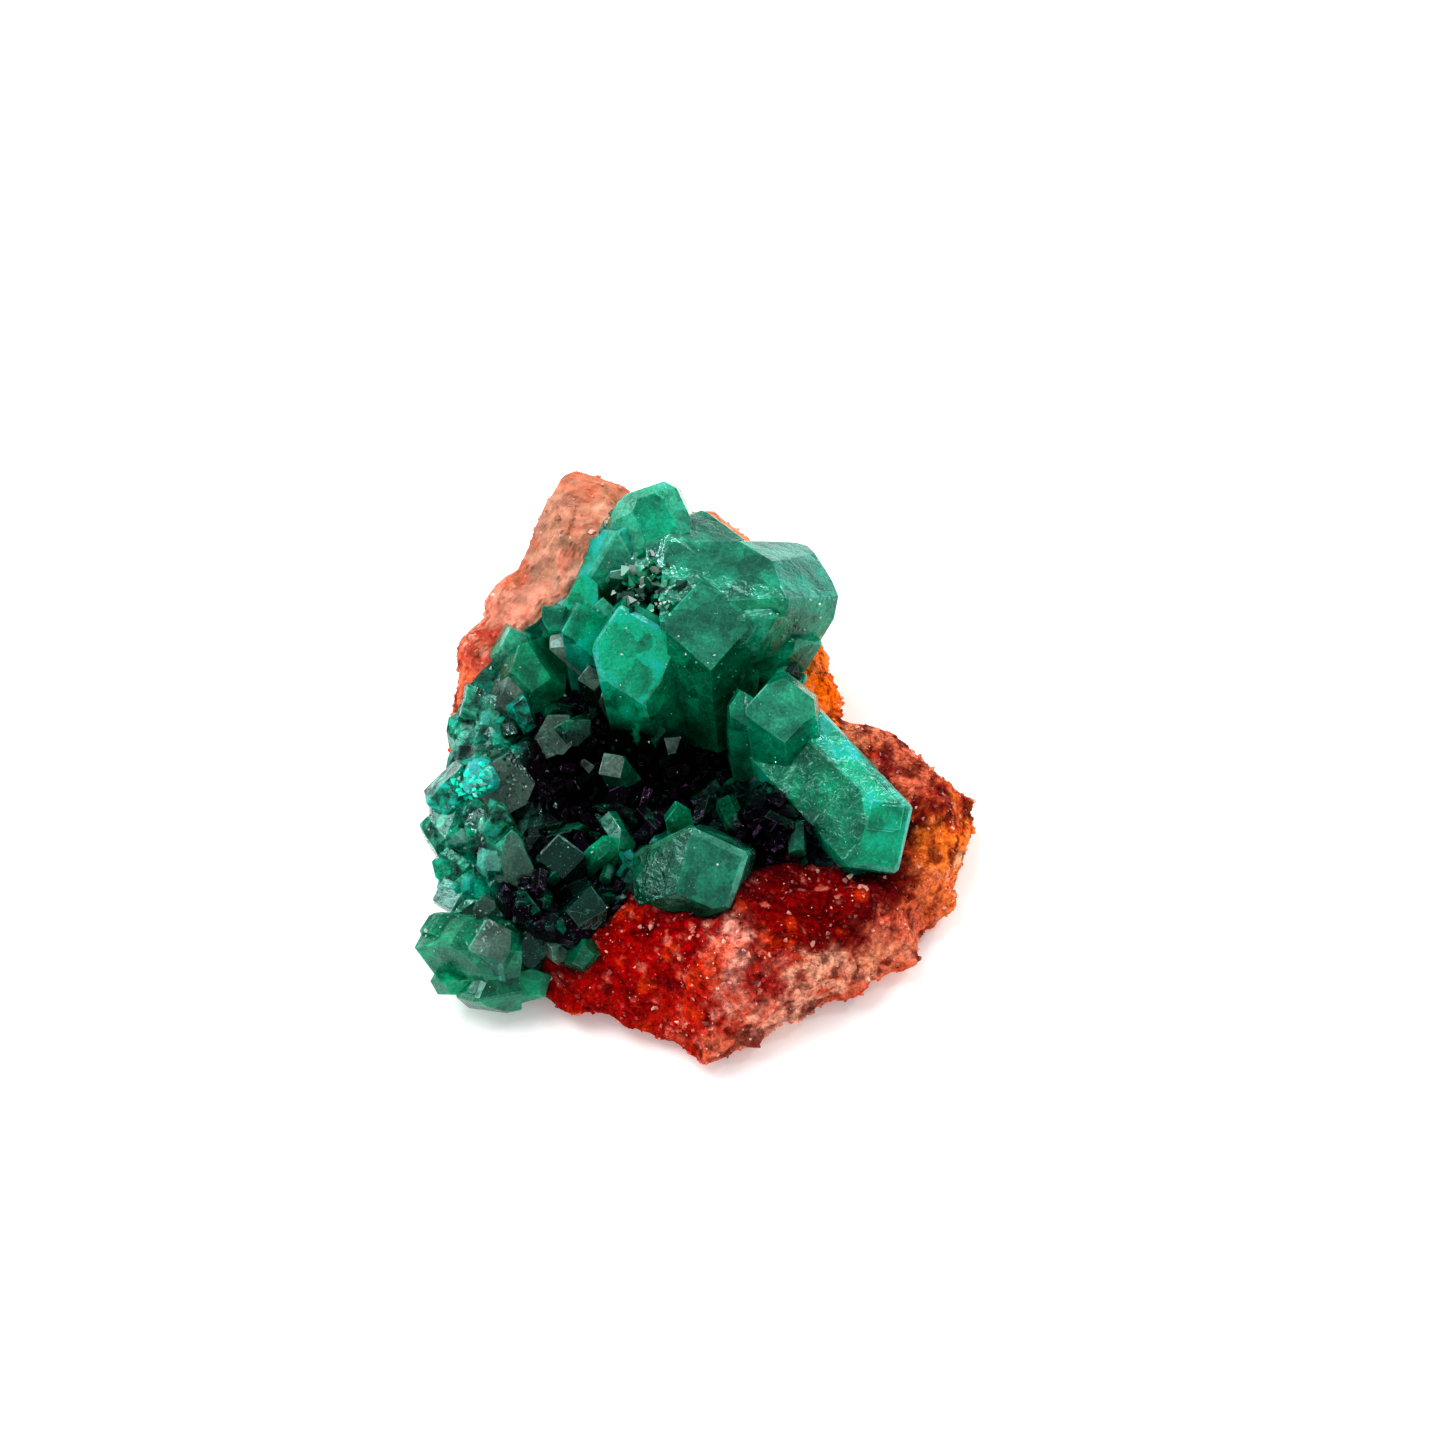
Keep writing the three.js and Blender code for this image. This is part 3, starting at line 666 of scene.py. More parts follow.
def broken_planes(points, planes, size, random, count, bite):
    """Planes that break off corners: each faces between two random neighbouring faces near
    the tip and cuts a slice off the outermost corner that way, up to bite times the size."""
    extra = []
    for _ in range(count):
        a, b = planes[random.choice(np.arange(1, len(planes)), 2, replace=False), :3]
        if a @ b < -0.1:
            continue
        facing = mix(a, b, random.uniform(0.2, 0.8)) + random.normal(scale=0.12, size=3)
        facing = facing / np.linalg.norm(facing)
        extra.append([*facing, (points @ facing).max() - size * random.uniform(0.03, bite)])
    return np.array(extra).reshape(-1, 4)


def growth_planes(points, planes, random, hills=3):
    """A few planes for each side and end face, tilted off it by about one to three degrees
    and passing through a random spot near its middle."""
    on_plane = np.abs(points @ planes[:, :3].T - planes[:, 3]) < 3e-5
    extra = []
    for k, plane in enumerate(planes[1:], start=1):
        corners = points[on_plane[:, k]]
        if len(corners) < 3:
            continue
        for _ in range(hills):
            spot = random.dirichlet(np.ones(len(corners))) @ corners
            tilt = np.cross(plane[:3], random.normal(size=3))
            slope = math.tan(math.radians(random.uniform(0.8, 2.6)))
            normal = plane[:3] + tilt / np.linalg.norm(tilt) * slope
            normal = normal / np.linalg.norm(normal)
            extra.append([*normal, normal @ spot])
    return np.array(extra)


shape = main_planes(4, 6, {}, None)
print("planes that round its edges", len(round_planes(shape, 0.3, np.random.default_rng(1))))

# %% [markdown]
# Each crystal is placed by its tip, by how far it leans from the straight-out direction,
# by which way it leans, and by its turn about its own axis. The large crystals repeat those
# of the imported solid, a few of them set slightly otherwise. Smaller ones are added between
# them. A look names the colour of a crystal's body, and single faces may have another.
# Those face looks partly paint light: the grey and pale ones paint the sheen of faces that
# mirror the lights, and darker or brighter greens on some sides paint the shade or light
# that falls on them.

# %% Looks and placing
# how much a look keeps of its brightness inside the painted shade of the hollows; the grey
# and pale looks there paint reflections
LIT_LOOKS = dict(grey=1, ash=1, pale=1, mist=1, bright=1, leaf=0.6)
LOOKS = dict(
    emerald=linear(8, 248, 196), leaf=linear(0, 180, 136), teal=linear(0, 194, 156),
    sea=linear(24, 200, 174), turquoise=linear(0, 240, 208), bright=linear(0, 255, 220),
    # the near-black purple look is painted shade for the depths of the hollows
    deep=linear(0, 132, 98), dark=linear(0, 70, 58), night=linear(12, 4, 18),
    grey=linear(126, 148, 136), green_grey=linear(84, 208, 174), pale=linear(206, 214, 202),
    mist=linear(136, 190, 178), slate=linear(58, 176, 146),
    ash=linear(166, 182, 172),
)


def place_axes(at, lean, heading, spin):
    """Tip of a crystal and the three directions it is built on, as columns: its axis leans
    from straight out, the first column is the side turned by the spin."""
    t, h, turn = math.radians(lean), math.radians(heading), math.radians(spin)
    basis = np.stack([ACROSS, UP, OUT])
    axis = np.array([math.sin(t) * math.cos(h), math.sin(t) * math.sin(h), math.cos(t)]) @ basis
    side = np.array([-math.cos(t) * math.cos(h), -math.cos(t) * math.sin(h), math.sin(t)]) @ basis
    third = np.cross(axis, side)
    first = side * math.cos(turn) + third * math.sin(turn)
    second = third * math.cos(turn) - side * math.sin(turn)
    out = (at[2] - FACE_HEIGHT - at[1] * UP[2]) / OUT[2]
    return face_point(at[0], at[1], out), np.stack([first, second, axis], axis=-1)


# broken corners of a crystal whose row says nothing of them
PLAIN_BREAKS = 4


def grow(at, lean, heading, spin, width, length, look, cut={}, chip=None, worn=None, beside=0,
         broken=PLAIN_BREAKS, bite=0.12, **faces):
    """One row of the crystal list. Unless it is given, the radius of the worn edges grows
    with the width. Beside is the number of smaller crystals grown on its sides, broken the
    number of broken corners, and bite the deepest break as a share of the width."""
    return dict(at=at, lean=lean, heading=heading, spin=spin, width=width, length=length, look=look,
                cut=cut, chip=chip, worn=worn or 0.04 + 0.03 * width, beside=beside, broken=broken,
                bite=bite, faces=faces)


print(len(LOOKS), "looks")

# %% Crystal list
CRYSTALS = [
    # upper group
    grow((-1.7, 21.6, 18.6), 52, 70, -4, 6.6, 11, "teal", cut={"r0": -0.2}, worn=1.5, broken=1,
         r1="mist", p0="deep"),
    grow((-3.7, 18.7, 16), 68, 57, 30, 3.9, 8, "sea", worn=0.4, p4="bright", p5="green_grey", r0="sea"),
    grow((11.7, 12.2, 14), 80, 0, 180, 9.5, 13.5, "teal", chip=(-0.1, -0.81, 0.58, 0.75),
         worn=0.7, beside=3, broken=12, bite=0.09, p2="slate", p3="leaf", r1="sea", r2="teal"),
    grow((4.3, 16.9, 14.6), 78, 22, 180, 7.6, 9, "slate", worn=0.6),
    grow((0.7, 13.8, 19), 50, 95, 0, 6.2, 14, "teal", cut={"r0": -1}, broken=0, worn=0.1,
         r0="green_grey", p0="deep", p5="leaf"),
    grow((-5.3, 11.9, 17.5), 52, 102, 2, 5.8, 12, "emerald", cut={"r0": -1.7}, worn=0.4, p0="leaf"),
    grow((-5, 12.5, 16.2), 44, 98, 6, 4.6, 7, "teal", cut={"r0": -0.1}, worn=0.1, broken=6),
    # right side, and the long block that points down to the right
    grow((6.3, 6.9, 15.4), 50, 99, -6, 5.4, 12, "teal", cut={"r0": -0.3}, r0="green_grey"),
    grow((3.6, 5.6, 13.5), 50, 95, 10, 2.4, 8, "teal"),
    grow((4, 8.4, 12.5), 45, 80, 0, 2.4, 7, "teal"),
    grow((5.6, 8.8, 12), 50, 110, 0, 2.2, 7, "teal"),
    grow((15.4, -8, 8.4), 62, -47, -15, 7.3, 15, "emerald",
         cut={"p0": -0.85, "p1": 0.1, "p4": 0.15, "p5": 0.1}, worn=0.7, beside=2,
         p0="leaf", p5="turquoise", r0="emerald"),
    grow((6.8, 8.4, 11.5), 50, 100, 0, 1.8, 5, "dark"),
    grow((8.3, 8.9, 11.3), 60, 40, 0, 2, 4, "mist"),
    # front block
    grow((4.2, -6.4, 12.5), 48, 25, -2, 7, 9, "slate", cut={"r0": -0.2}, worn=0.6, beside=2,
         broken=6, bite=0.12, p0="deep", p5="deep"),
    grow((-1.2, -3, 11.5), 40, 100, 0, 1.8, 4, "leaf"),
    grow((-1.9, -7.6, 11), 36, 120, 20, 3.8, 6, "deep", worn=0.8, broken=6, r0="dark"),
    # lower left corner
    grow((-21.6, -13.9, 5.2), 76, 178, 180, 5, 8.5, "leaf", worn=0.7, beside=2, p3="leaf"),
    grow((-15.2, -11.2, 8.2), 50, 100, 10, 4, 6, "slate", worn=0.4, broken=5, bite=0.15, r0="ash"),
    grow((-18, -17, 3), 80, 190, 160, 3.4, 5, "deep", worn=0.4, p2="leaf"),
    grow((-10.4, -15.6, 3.6), 82, 14, 30, 2.2, 5, "leaf"),
    # upper left flank
    grow((-11.7, 10.1, 13), 50, 84, 0, 4.5, 9, "leaf"),
    grow((-13.8, 10.4, 12), 46, 104, 10, 3.6, 8, "green_grey"),
    grow((-10.8, 9.8, 12.6), 70, 139, 0, 1.5, 5, "ash"),
    grow((-16.9, 6.2, 10.5), 50, 118, 10, 3.6, 8, "green_grey"),
    grow((-14.4, 7, 11), 50, 100, 10, 3.2, 7, "grey"),
    grow((-16.2, 3.6, 9.8), 50, 125, 10, 3.4, 7, "green_grey"),
    grow((-18.4, 1.6, 8.4), 60, 120, 10, 2.4, 7, "sea"),
    grow((-12.7, 5.2, 10.8), 45, 80, 10, 2.4, 5, "turquoise"),
    grow((-9.4, 3.9, 10.6), 58, 60, -20, 3, 8, "deep", r0="grey"),
    grow((-7.6, 3.4, 10), 60, 30, 30, 2.6, 6, "deep"),
    grow((-7.8, 7.6, 11.6), 40, 100, 0, 2, 5, "dark", r0="grey"),
    grow((-6.6, 6.2, 11.6), 55, 120, 0, 2.2, 6, "grey"),
    grow((-8.2, 14.6, 15), 60, 90, 0, 3, 7, "emerald"),
    grow((-8.6, 12.2, 15), 50, 100, 10, 3.4, 8, "sea", r0="emerald"),
    grow((-11.4, 12, 13.5), 55, 130, 0, 2.4, 6, "teal"),
    grow((-6.8, 12.6, 14), 50, 90, 0, 2.6, 7, "green_grey"),
    grow((-5, 14.8, 15.5), 45, 60, 0, 1.8, 5, "deep", r0="mist"),
    grow((-3.2, 14.6, 15.5), 40, 110, 0, 1.6, 5, "dark", r0="pale"),
    grow((-2.4, 13.2, 15.5), 45, 90, 20, 1.8, 5, "dark", r0="mist"),
    grow((-4.2, 13, 15), 35, 120, 0, 1.6, 5, "dark", r0="grey"),
    # left edge
    grow((-13.2, 1.2, 11.4), 44, 75, 0, 5.3, 7, "dark", r0="grey"),
    grow((-15.2, -2.6, 10), 44, 110, 0, 2.8, 7, "green_grey"),
    grow((-14.9, 1.2, 10), 50, 110, 0, 2, 6, "grey"),
    grow((-16.2, -1.1, 11.2), 12, 200, 20, 2.9, 4, "bright", worn=0.8, broken=2),
    grow((-16, 0.5, 9.8), 65, 50, 30, 2.6, 5, "sea"),
    grow((-19.6, -1.6, 7.6), 60, 130, 20, 3, 6, "turquoise"),
    grow((-20.6, -4.3, 6.6), 66, 160, 20, 3.6, 6, "green_grey"),
    grow((-20.2, -7.2, 5.6), 66, 175, 0, 3.4, 6, "teal"),
    grow((-19.5, -10, 4.8), 60, 185, 20, 2.6, 6, "mist"),
    grow((-17.6, -10.8, 6.2), 50, 170, 10, 3, 6, "dark"),
    grow((-13.4, -4.8, 11), 48, 92, 0, 3.4, 7, "green_grey", r0="grey"),
    grow((-15.8, -6.2, 9.6), 50, 130, 0, 2.2, 6, "sea", r0="mist"),
    grow((-15.6, -9.6, 8.4), 40, 100, 0, 1.6, 5, "grey"),
    # behind the left edge, between its crystals
    grow((-18.9, 3.4, 7.6), 66, 150, 40, 3, 5, "teal", r0="mist"),
    grow((-18.4, 0.2, 7.8), 50, 160, 70, 3.2, 6, "sea", r0="green_grey"),
    grow((-19.3, -3, 6.2), 58, 150, 60, 3.4, 6, "emerald", r0="sea"),
    grow((-18.6, -5.6, 6.8), 44, 170, 80, 3.2, 6, "green_grey", r0="mist"),
    grow((-19.4, -8.7, 5), 62, 180, 50, 3.4, 6, "teal", r0="sea"),
    grow((-18.2, -9, 5.8), 48, 190, 100, 3, 6, "sea", r0="green_grey"),
    grow((-18.4, -12, 4.4), 60, 190, 40, 3.2, 6, "deep", r0="teal"),
    grow((-15.4, -12.6, 5.4), 50, 230, 20, 3, 6, "dark", r0="deep"),
    # in the hollow
    grow((-10, -5, 9.8), 52, 95, 0, 3.4, 7, "dark"),
    grow((-7.8, -8.4, 10.2), 50, 80, 0, 3.3, 7, "dark"),
    grow((-5.4, -5.3, 9.4), 65, 40, 0, 1.6, 5, "leaf"),
    grow((-6.7, 0.9, 9.5), 55, 124, 0, 2.55, 8, "leaf", r0="ash"),
    grow((-8.5, 0.7, 8.2), 55, 100, 0, 1.8, 5, "dark", r0="grey"),
    grow((-8.4, -12.8, 8), 25, 100, 0, 2.4, 4, "deep"),
    grow((-10.4, -12.8, 7.6), 25, 140, 0, 2.2, 4, "grey"),
    grow((-12.4, -12.4, 7.2), 30, 100, 0, 2.4, 4, "dark"),
    grow((-3.2, 3.4, 10), 40, 100, 0, 1.8, 5, "leaf"),
    grow((-1, 2.4, 10), 40, 60, 0, 1.8, 5, "dark", r0="grey"),
    grow((-1.2, 0.2, 7.4), 40, 60, 0, 1.4, 4, "deep"),
    grow((2.6, -2.2, 7.4), 40, 100, 0, 1.6, 4, "night", r0="grey"),
]
# left of this edge lies the left flank, where nearly all crystals are worn and broken, and
# elsewhere only the thin ones are; those are also a little wider
FLANK_EDGE = -7
FLANK_WIDEST, THIN_WIDEST = 5.5, 2.5
for row in CRYSTALS:
    widest = FLANK_WIDEST if row["at"][0] < FLANK_EDGE else THIN_WIDEST
    if row["broken"] == PLAIN_BREAKS and row["width"] < widest:
        row.update(broken=9, bite=0.3, worn=1.5 * row["worn"], width=1.15 * row["width"])
print(len(CRYSTALS), "crystals placed one by one")

# %% [markdown]
# The crystals stand on a crust that lies over the rock. The crust is a sheet that is thick
# inside and thin at its edge. It could be a thickened copy of the rock's mesh. It is worked
# out from the rock's own formula of height, so that its grid can be as coarse as it needs
# to be and ends exactly at the crust's edge. It is black in the hollows between the
# crystals, where no light comes back, and green elsewhere.

# %% Crust colours
# hollows between the crystals, painted dark as shade: middle across and up, spread across and up
HOLLOWS = [
    (-2.5, 0, 8, 6.8), (-10, -10, 5, 5.2), (-9, 2, 4.2, 5), (6.5, -5.5, 4.5, 2.8),
    (-3.2, 13.4, 2.2, 1.6),
]


def hollow_share(points):
    """How deep points lie in a hollow that is painted dark as shade, from 0 to 1: the highest
    of the hollows' bells, raised to a flat top and cut to a sharp edge."""
    place = face_place(points)
    bells = [np.exp(-(((place[..., 0] - a) / wide) ** 4) - ((place[..., 1] - b) / high) ** 4)
             for a, b, wide, high in HOLLOWS]
    return np.clip(2.2 * np.max(bells, axis=0) - 0.5, 0, 1)


def in_painted_shade(points):
    """Whether points lie in the part of a hollow that is painted as deep shade."""
    return hollow_share(points) > 0.5


def crust_colours(points):
    """Painted shade, black, in the hollows, and patches of deep and bright green elsewhere."""
    patch = np.clip(0.5 + 0.5 * rough_noise(points, 2.2, 91)[..., None], 0, 1)
    green = mix(LOOKS["deep"], LOOKS["turquoise"], patch**2)
    return mix(green, LOOKS["night"], hollow_share(points)[..., None])


print("depth in the main hollow at its middle:", hollow_share(face_point(*HOLLOWS[0][:2], 0)))

# %% Crust sheet
CRUST_THICKNESS = 0.9


def crust_grid(around, bands):
    """Upper surface of the crust: the rock's top plus a rise that falls off as the sixth
    power of the way out, with fine lumps. The last ring is the rim's foot, 3 mm down."""
    angle = -math.pi + np.arange(around) * 2 * math.pi / around
    edge = plan_radius(CRUST_PLAN, CRUST_MIDDLE, angle)
    rings = []
    for share in np.arange(1, bands + 1) / bands:
        x = CRUST_MIDDLE[0] + edge * share * np.cos(angle)
        y = CRUST_MIDDLE[1] + edge * share * np.sin(angle)
        z = rock_top(x, y)
        points = np.stack([x, y, z], axis=-1)
        lumps = 0.22 * (block_noise(points, 1.0, 71)[0] - 0.4) * (1 - share**6)
        rise = 0.15 + CRUST_THICKNESS * (1 - share**6)
        rings.append(np.stack([x, y, z + ridges(x, y, z) + rise + lumps], axis=-1))
    rings.append(np.stack([x, y, z - 3], axis=-1))
    return np.array(rings)


crust = crust_grid(around=150, bands=36)
crust_rings, crust_around = crust.shape[:2]
crust_points, crust_faces = closed_grid(crust, bottom=[*CRUST_MIDDLE, 1])
crystal_cluster = new_piece("crystal_cluster", crust_points, crust_faces)
corner_order = np.zeros(len(crystal_cluster.data.loops), dtype=np.int32)
crystal_cluster.data.loops.foreach_get("vertex_index", corner_order)
in_hollow = in_painted_shade(crust_points[[face[0] for face in crust_faces]])
store(crystal_cluster, "tint", crust_colours(crust_points)[corner_order])
store(crystal_cluster, "dark", in_hollow, "INT", "FACE")
store(crystal_cluster, "lit", np.zeros(len(corner_order)), "FLOAT")
store(crystal_cluster, "growth", crust_points[corner_order], "FLOAT_VECTOR")
print("crust faces", len(crystal_cluster.data.polygons))

# %% Strewn crystals
DRUSY = dict(count=26, seed=2027, width=(0.7, 1.5), length=2.6, proud=0.55, lean=50, reach=0.96)


def park_miller(seed):
    """Random values from 0 to 1, each 16807 times the last, modulo 2^31 - 1."""
    state = seed
    while True:
        state = state * 16807 % 2147483647
        yield state / 2147483647


def drusy_crystals():
    """Small crystals strewn over the crust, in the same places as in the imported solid."""
    draw = park_miller(DRUSY["seed"])
    rows = []
    for _ in range(DRUSY["count"]):
        angle = math.pi * (2 * next(draw) - 1)
        r = plan_radius(CRUST_PLAN, CRUST_MIDDLE, angle) * math.sqrt(next(draw)) * DRUSY["reach"]
        x = CRUST_MIDDLE[0] + r * math.cos(angle)
        y = CRUST_MIDDLE[1] + r * math.sin(angle)
        z = rock_top(x, y)
        height = z + ridges(x, y, z) + CRUST_THICKNESS + DRUSY["proud"]
        up = y * UP[1] + (height - FACE_HEIGHT) * UP[2]
        lean, heading, spin = DRUSY["lean"] * next(draw), 360 * next(draw), 120 * next(draw)
        width = mix(*DRUSY["width"], next(draw))
        rows.append(grow((x, up, height), lean, heading, spin, width, DRUSY["length"], "dark"))
    return rows


small_crystals = drusy_crystals()
print(len(small_crystals), "small crystals strewn over the crust")

# %% Open places on the crust
def inside_crystal(row, points, margin):
    """Which points lie inside a crystal of the list, or within the margin of it."""
    tip, axes = place_axes(row["at"], row["lean"], row["heading"], row["spin"])
    planes = main_planes(row["width"], row["length"], row["cut"], row["chip"])
    return ((points - tip) @ axes @ planes[:, :3].T < planes[:, 3] + margin).all(axis=1)


def open_crust(count, margin, narrowest, random):
    """Random spots on the crust that no listed crystal covers: ring, spoke and place."""
    share = np.sqrt(random.uniform(0.01, 1, count))
    ring = (share * (crust_rings - 2)).astype(int)
    spoke = random.integers(crust_around, size=count)
    spots = crust[ring, spoke]
    covered = [inside_crystal(row, spots, margin) for row in CRYSTALS if row["width"] > narrowest]
    keep = ~np.any(covered, axis=0)
    return ring[keep], spoke[keep], spots[keep]


spots_tried = 100
print("open of", spots_tried, "spots:", len(open_crust(spots_tried, 0.2, 3, np.random.default_rng(1))[0]))

# %% Filling crystals
FILLING_TRIES = 260
# length of small crystals as a share of their width, and how many gaps of the left flank
# stay open
SMALL_LENGTH, FLANK_OPEN = 2.2, 0.7
# the hollows' looks are painted shade: near-black and dark greens, and a few grey ends that paint
# reflections
DARK_LOOKS = ["night", "night", "dark", "dark", "deep"]
DARK_ENDS = ["night", "night", "dark", "deep", "deep", "grey"]
GREEN_LOOKS = ["emerald", "teal", "deep", "turquoise", "sea", "green_grey", "leaf", "mist", "dark"]


def clear_of_tips(rows):
    """Those rows whose tip, seen straight on, does not stand over the tip of a listed
    crystal."""
    tips = np.array([row["at"][:2] for row in CRYSTALS])
    reach = np.array([0.5 * row["width"] for row in CRYSTALS])
    away = (np.hypot(*(tips - row["at"][:2]).T) for row in rows)
    return [row for row, gaps in zip(rows, away) if (gaps > reach + 0.3 * row["width"]).all()]


def filling_crystals(tries, random):
    """Middle-sized crystals that fill the gaps. They lean outwards from the middle of the
    crust and stand only a little above it. Outside the hollows of the left flank most of
    them are left out, and the others are wider."""
    ring, spoke, spots = open_crust(tries, 0.2, 3, random)
    rows = []
    normals = grid_normals(crust)[ring, spoke]
    for spot, normal, dark in zip(spots, normals, hollow_share(spots) > 0.3):
        on_flank = spot[0] < FLANK_EDGE
        if on_flank and not dark and random.uniform() < FLANK_OPEN:
            continue
        width = random.uniform(0.9, 1.6) if dark else random.uniform(1.1, 2.8) + 0.7 * on_flank
        top = spot + normal * random.uniform(0.5, 1.3) * (0.5 + 0.25 * width)
        across, up, _ = face_place(top)
        heading = math.degrees(math.atan2(up, across + 2)) + random.uniform(-60, 60)
        look = random.choice(DARK_LOOKS if dark else GREEN_LOOKS)
        rows.append(grow((across, up, top[2]), random.uniform(15, 75), heading, random.uniform(0, 120),
                         width, SMALL_LENGTH * width, look, broken=8, bite=0.3,
                         r0=random.choice(DARK_ENDS if dark else GREEN_LOOKS)))
    return clear_of_tips(rows)


print(len(GREEN_LOOKS), "looks in the light,", len(set(DARK_LOOKS)), "in the hollows")

# %% Rim crystals
# angles round the crust's middle between which its rim is lined, from the top to the lower
# left, and the number of crystals there
RIM_START, RIM_END, RIM_COUNT = 100, 238, 48


def rim_crystals(count, random):
    """Crystals side by side along the crust's rim, where it meets the bare rock. They lean
    out over the rim and close the gaps between the large ones."""
    rows = []
    normals = grid_normals(crust)
    for turn in np.linspace(RIM_START, RIM_END, count) + random.uniform(-1, 1, count):
        spoke = int((turn + 180) / 360 * crust_around) % crust_around
        ring = int(random.uniform(0.84, 0.99) * (crust_rings - 2))
        if hollow_share(crust[ring, spoke]) > 0.2:
            continue
        width = random.uniform(2, 3.6)
        top = crust[ring, spoke] + normals[ring, spoke] * random.uniform(0.2, 0.9)
        across, up, _ = face_place(top)
        look = random.choice(["turquoise", "sea", "emerald", "teal", "green_grey", "deep"])
        rows.append(grow((across, up, top[2]), random.uniform(30, 75), turn + random.uniform(-50, 50),
                         random.uniform(0, 120), width, SMALL_LENGTH * width, look,
                         worn=0.3, broken=9, bite=0.3,
                         r0=random.choice(["sea", "green_grey", "emerald", "mist"])))
    return clear_of_tips(rows)


small_crystals += rim_crystals(RIM_COUNT, np.random.default_rng(505))
small_crystals += filling_crystals(FILLING_TRIES, np.random.default_rng(404))
print(len(small_crystals), "small crystals with those that fill the gaps")

# %% Place a crystal
FACE_NAMES = ["root", "p0", "p1", "p2", "p3", "p4", "p5", "r0", "r1", "r2", "chip"]
# shifts the growth lines of each crystal, so that no two have the same
LINE_SHIFT = 13.7
# in the hollows crystals thinner than this get the shaded copy of the material and hardly
# shine; how far a face's colour is mixed with the body's, and how far worn strips go to the
# pale look, as wear, and gain brightness, as a painted highlight along the edges
DARK_WIDEST = 2.5
BODY_SHARE, WORN_SHARE, WORN_HIGHLIGHT_GAIN = 0.15, 0.12, 1.25


def crystal_piece(number, row, hills):
    """One crystal as its own closed mesh, with the colour of its faces and, for each corner,
    its place in the crystal's own axes, which the growth lines follow. Worn strips between
    the faces are paler, as wear, and brighter, as a painted highlight along the edges."""
    random = np.random.default_rng(500 + number)
    plain = main_planes(row["width"], row["length"], row["cut"], row["chip"])
    mains = len(plain)
    plain_corners = corner_points(plain)
    while True:
        worn = round_planes(plain, row["worn"], random)
        broken = broken_planes(plain_corners, plain, row["width"], random, row["broken"], row["bite"])
        planes = np.concatenate([plain, worn, broken])
        if hills:
            planes = np.concatenate([planes, growth_planes(plain_corners, plain, random, hills)])
        corners = corner_points(planes)
        faces, owners = plane_faces(corners, planes)
        if is_closed(faces):
            break
    tip, axes = place_axes(row["at"], row["lean"], row["heading"], row["spin"])
    piece = new_piece(f"crystal_{number}", corners @ axes.T + tip, faces)
    body = LOOKS[row["look"]]
    looks = [LOOKS[row["faces"].get(name, row["look"])] for name in FACE_NAMES]
    nearest = np.argmax(planes[:, :3] @ planes[1:mains, :3].T, axis=1) + 1
    tint = mix(np.array([looks[nearest[k]] for k in owners]), body, BODY_SHARE)
    tint = tint * random.uniform(0.88, 1.12, len(owners))[:, None]
    owners = np.array(owners)
    is_worn = ((owners >= mains) & (owners < mains + len(worn)))[:, None]
    tint = np.where(is_worn, mix(tint, LOOKS["pale"], WORN_SHARE) * WORN_HIGHLIGHT_GAIN, tint)
    names = [row["faces"].get(FACE_NAMES[nearest[k]], row["look"]) for k in owners]
    is_dark = row["width"] < DARK_WIDEST and in_painted_shade(tip)
    store(piece, "tint", per_corner(tint, faces))
    store(piece, "lit", per_corner([LIT_LOOKS.get(name, 0) for name in names], faces), "FLOAT")
    store(piece, "dark", np.full(len(faces), is_dark), "INT", "FACE")
    store(piece, "growth", corners[np.concatenate(faces)] + LINE_SHIFT * number, "FLOAT_VECTOR")
    return piece


def parallel_growth(row, random):
    """Smaller crystals grown side by side with a large one: the same axis within a few
    degrees, set towards one of its six sides so that they stand a little proud of it, and
    with the tip a little lower. They make the steps and plates on its faces."""
    tip, axes = place_axes(row["at"], row["lean"], row["heading"], row["spin"])
    rows = []
    for _ in range(row["beside"]):
        width = row["width"] * random.uniform(0.35, 0.6)
        turn = math.radians(30 + 60 * random.integers(6) + random.uniform(-12, 12))
        out = (row["width"] - width) / 2 + random.uniform(0.02, 0.06) * row["width"]
        drop = random.uniform(0.1, 0.42) * row["length"]
        spot = tip + axes @ [out * math.cos(turn), out * math.sin(turn), -drop]
        across, up, _ = face_place(spot)
        rows.append(grow((across, up, spot[2]), row["lean"] + random.uniform(-3, 3), row["heading"],
                         row["spin"] + random.uniform(-6, 6), width, row["length"] - drop, row["look"]))
    return rows


print("names of a crystal's faces:", FACE_NAMES)

# %% Crystal meshes
random = np.random.default_rng(77)
small_crystals += [part for row in CRYSTALS for part in parallel_growth(row, random)]
crystal_pieces = [crystal_piece(k, row, hills=3) for k, row in enumerate(CRYSTALS)]
first_small = len(crystal_pieces)
crystal_pieces += [crystal_piece(first_small + k, row, hills=0) for k, row in enumerate(small_crystals)]
print("crystal meshes", len(crystal_pieces), "faces", sum(len(p.data.polygons) for p in crystal_pieces))

# %% [markdown]
# All these meshes could simply overlap, but light would then bend at every hidden face in
# the clear mass. So they are fused to one closed solid with Blender's Boolean modifier, and
# light meets only the outer surface, as it does in the real one. Then the rock's shape is
# cut out of its underside.

# %% Fuse the cluster
def apply_boolean(piece, operation, other):
    """Replaces a piece's mesh with the result of one Boolean modifier."""
    modifier = piece.modifiers.new("fuse", "BOOLEAN")
    modifier.operation = operation
    modifier.solver = "MANIFOLD"
    modifier.object = other
    result = bpy.data.meshes.new_from_object(piece.evaluated_get(bpy.context.evaluated_depsgraph_get()))
    piece.modifiers.clear()
    old = piece.data
    piece.data = result
    bpy.data.meshes.remove(old)


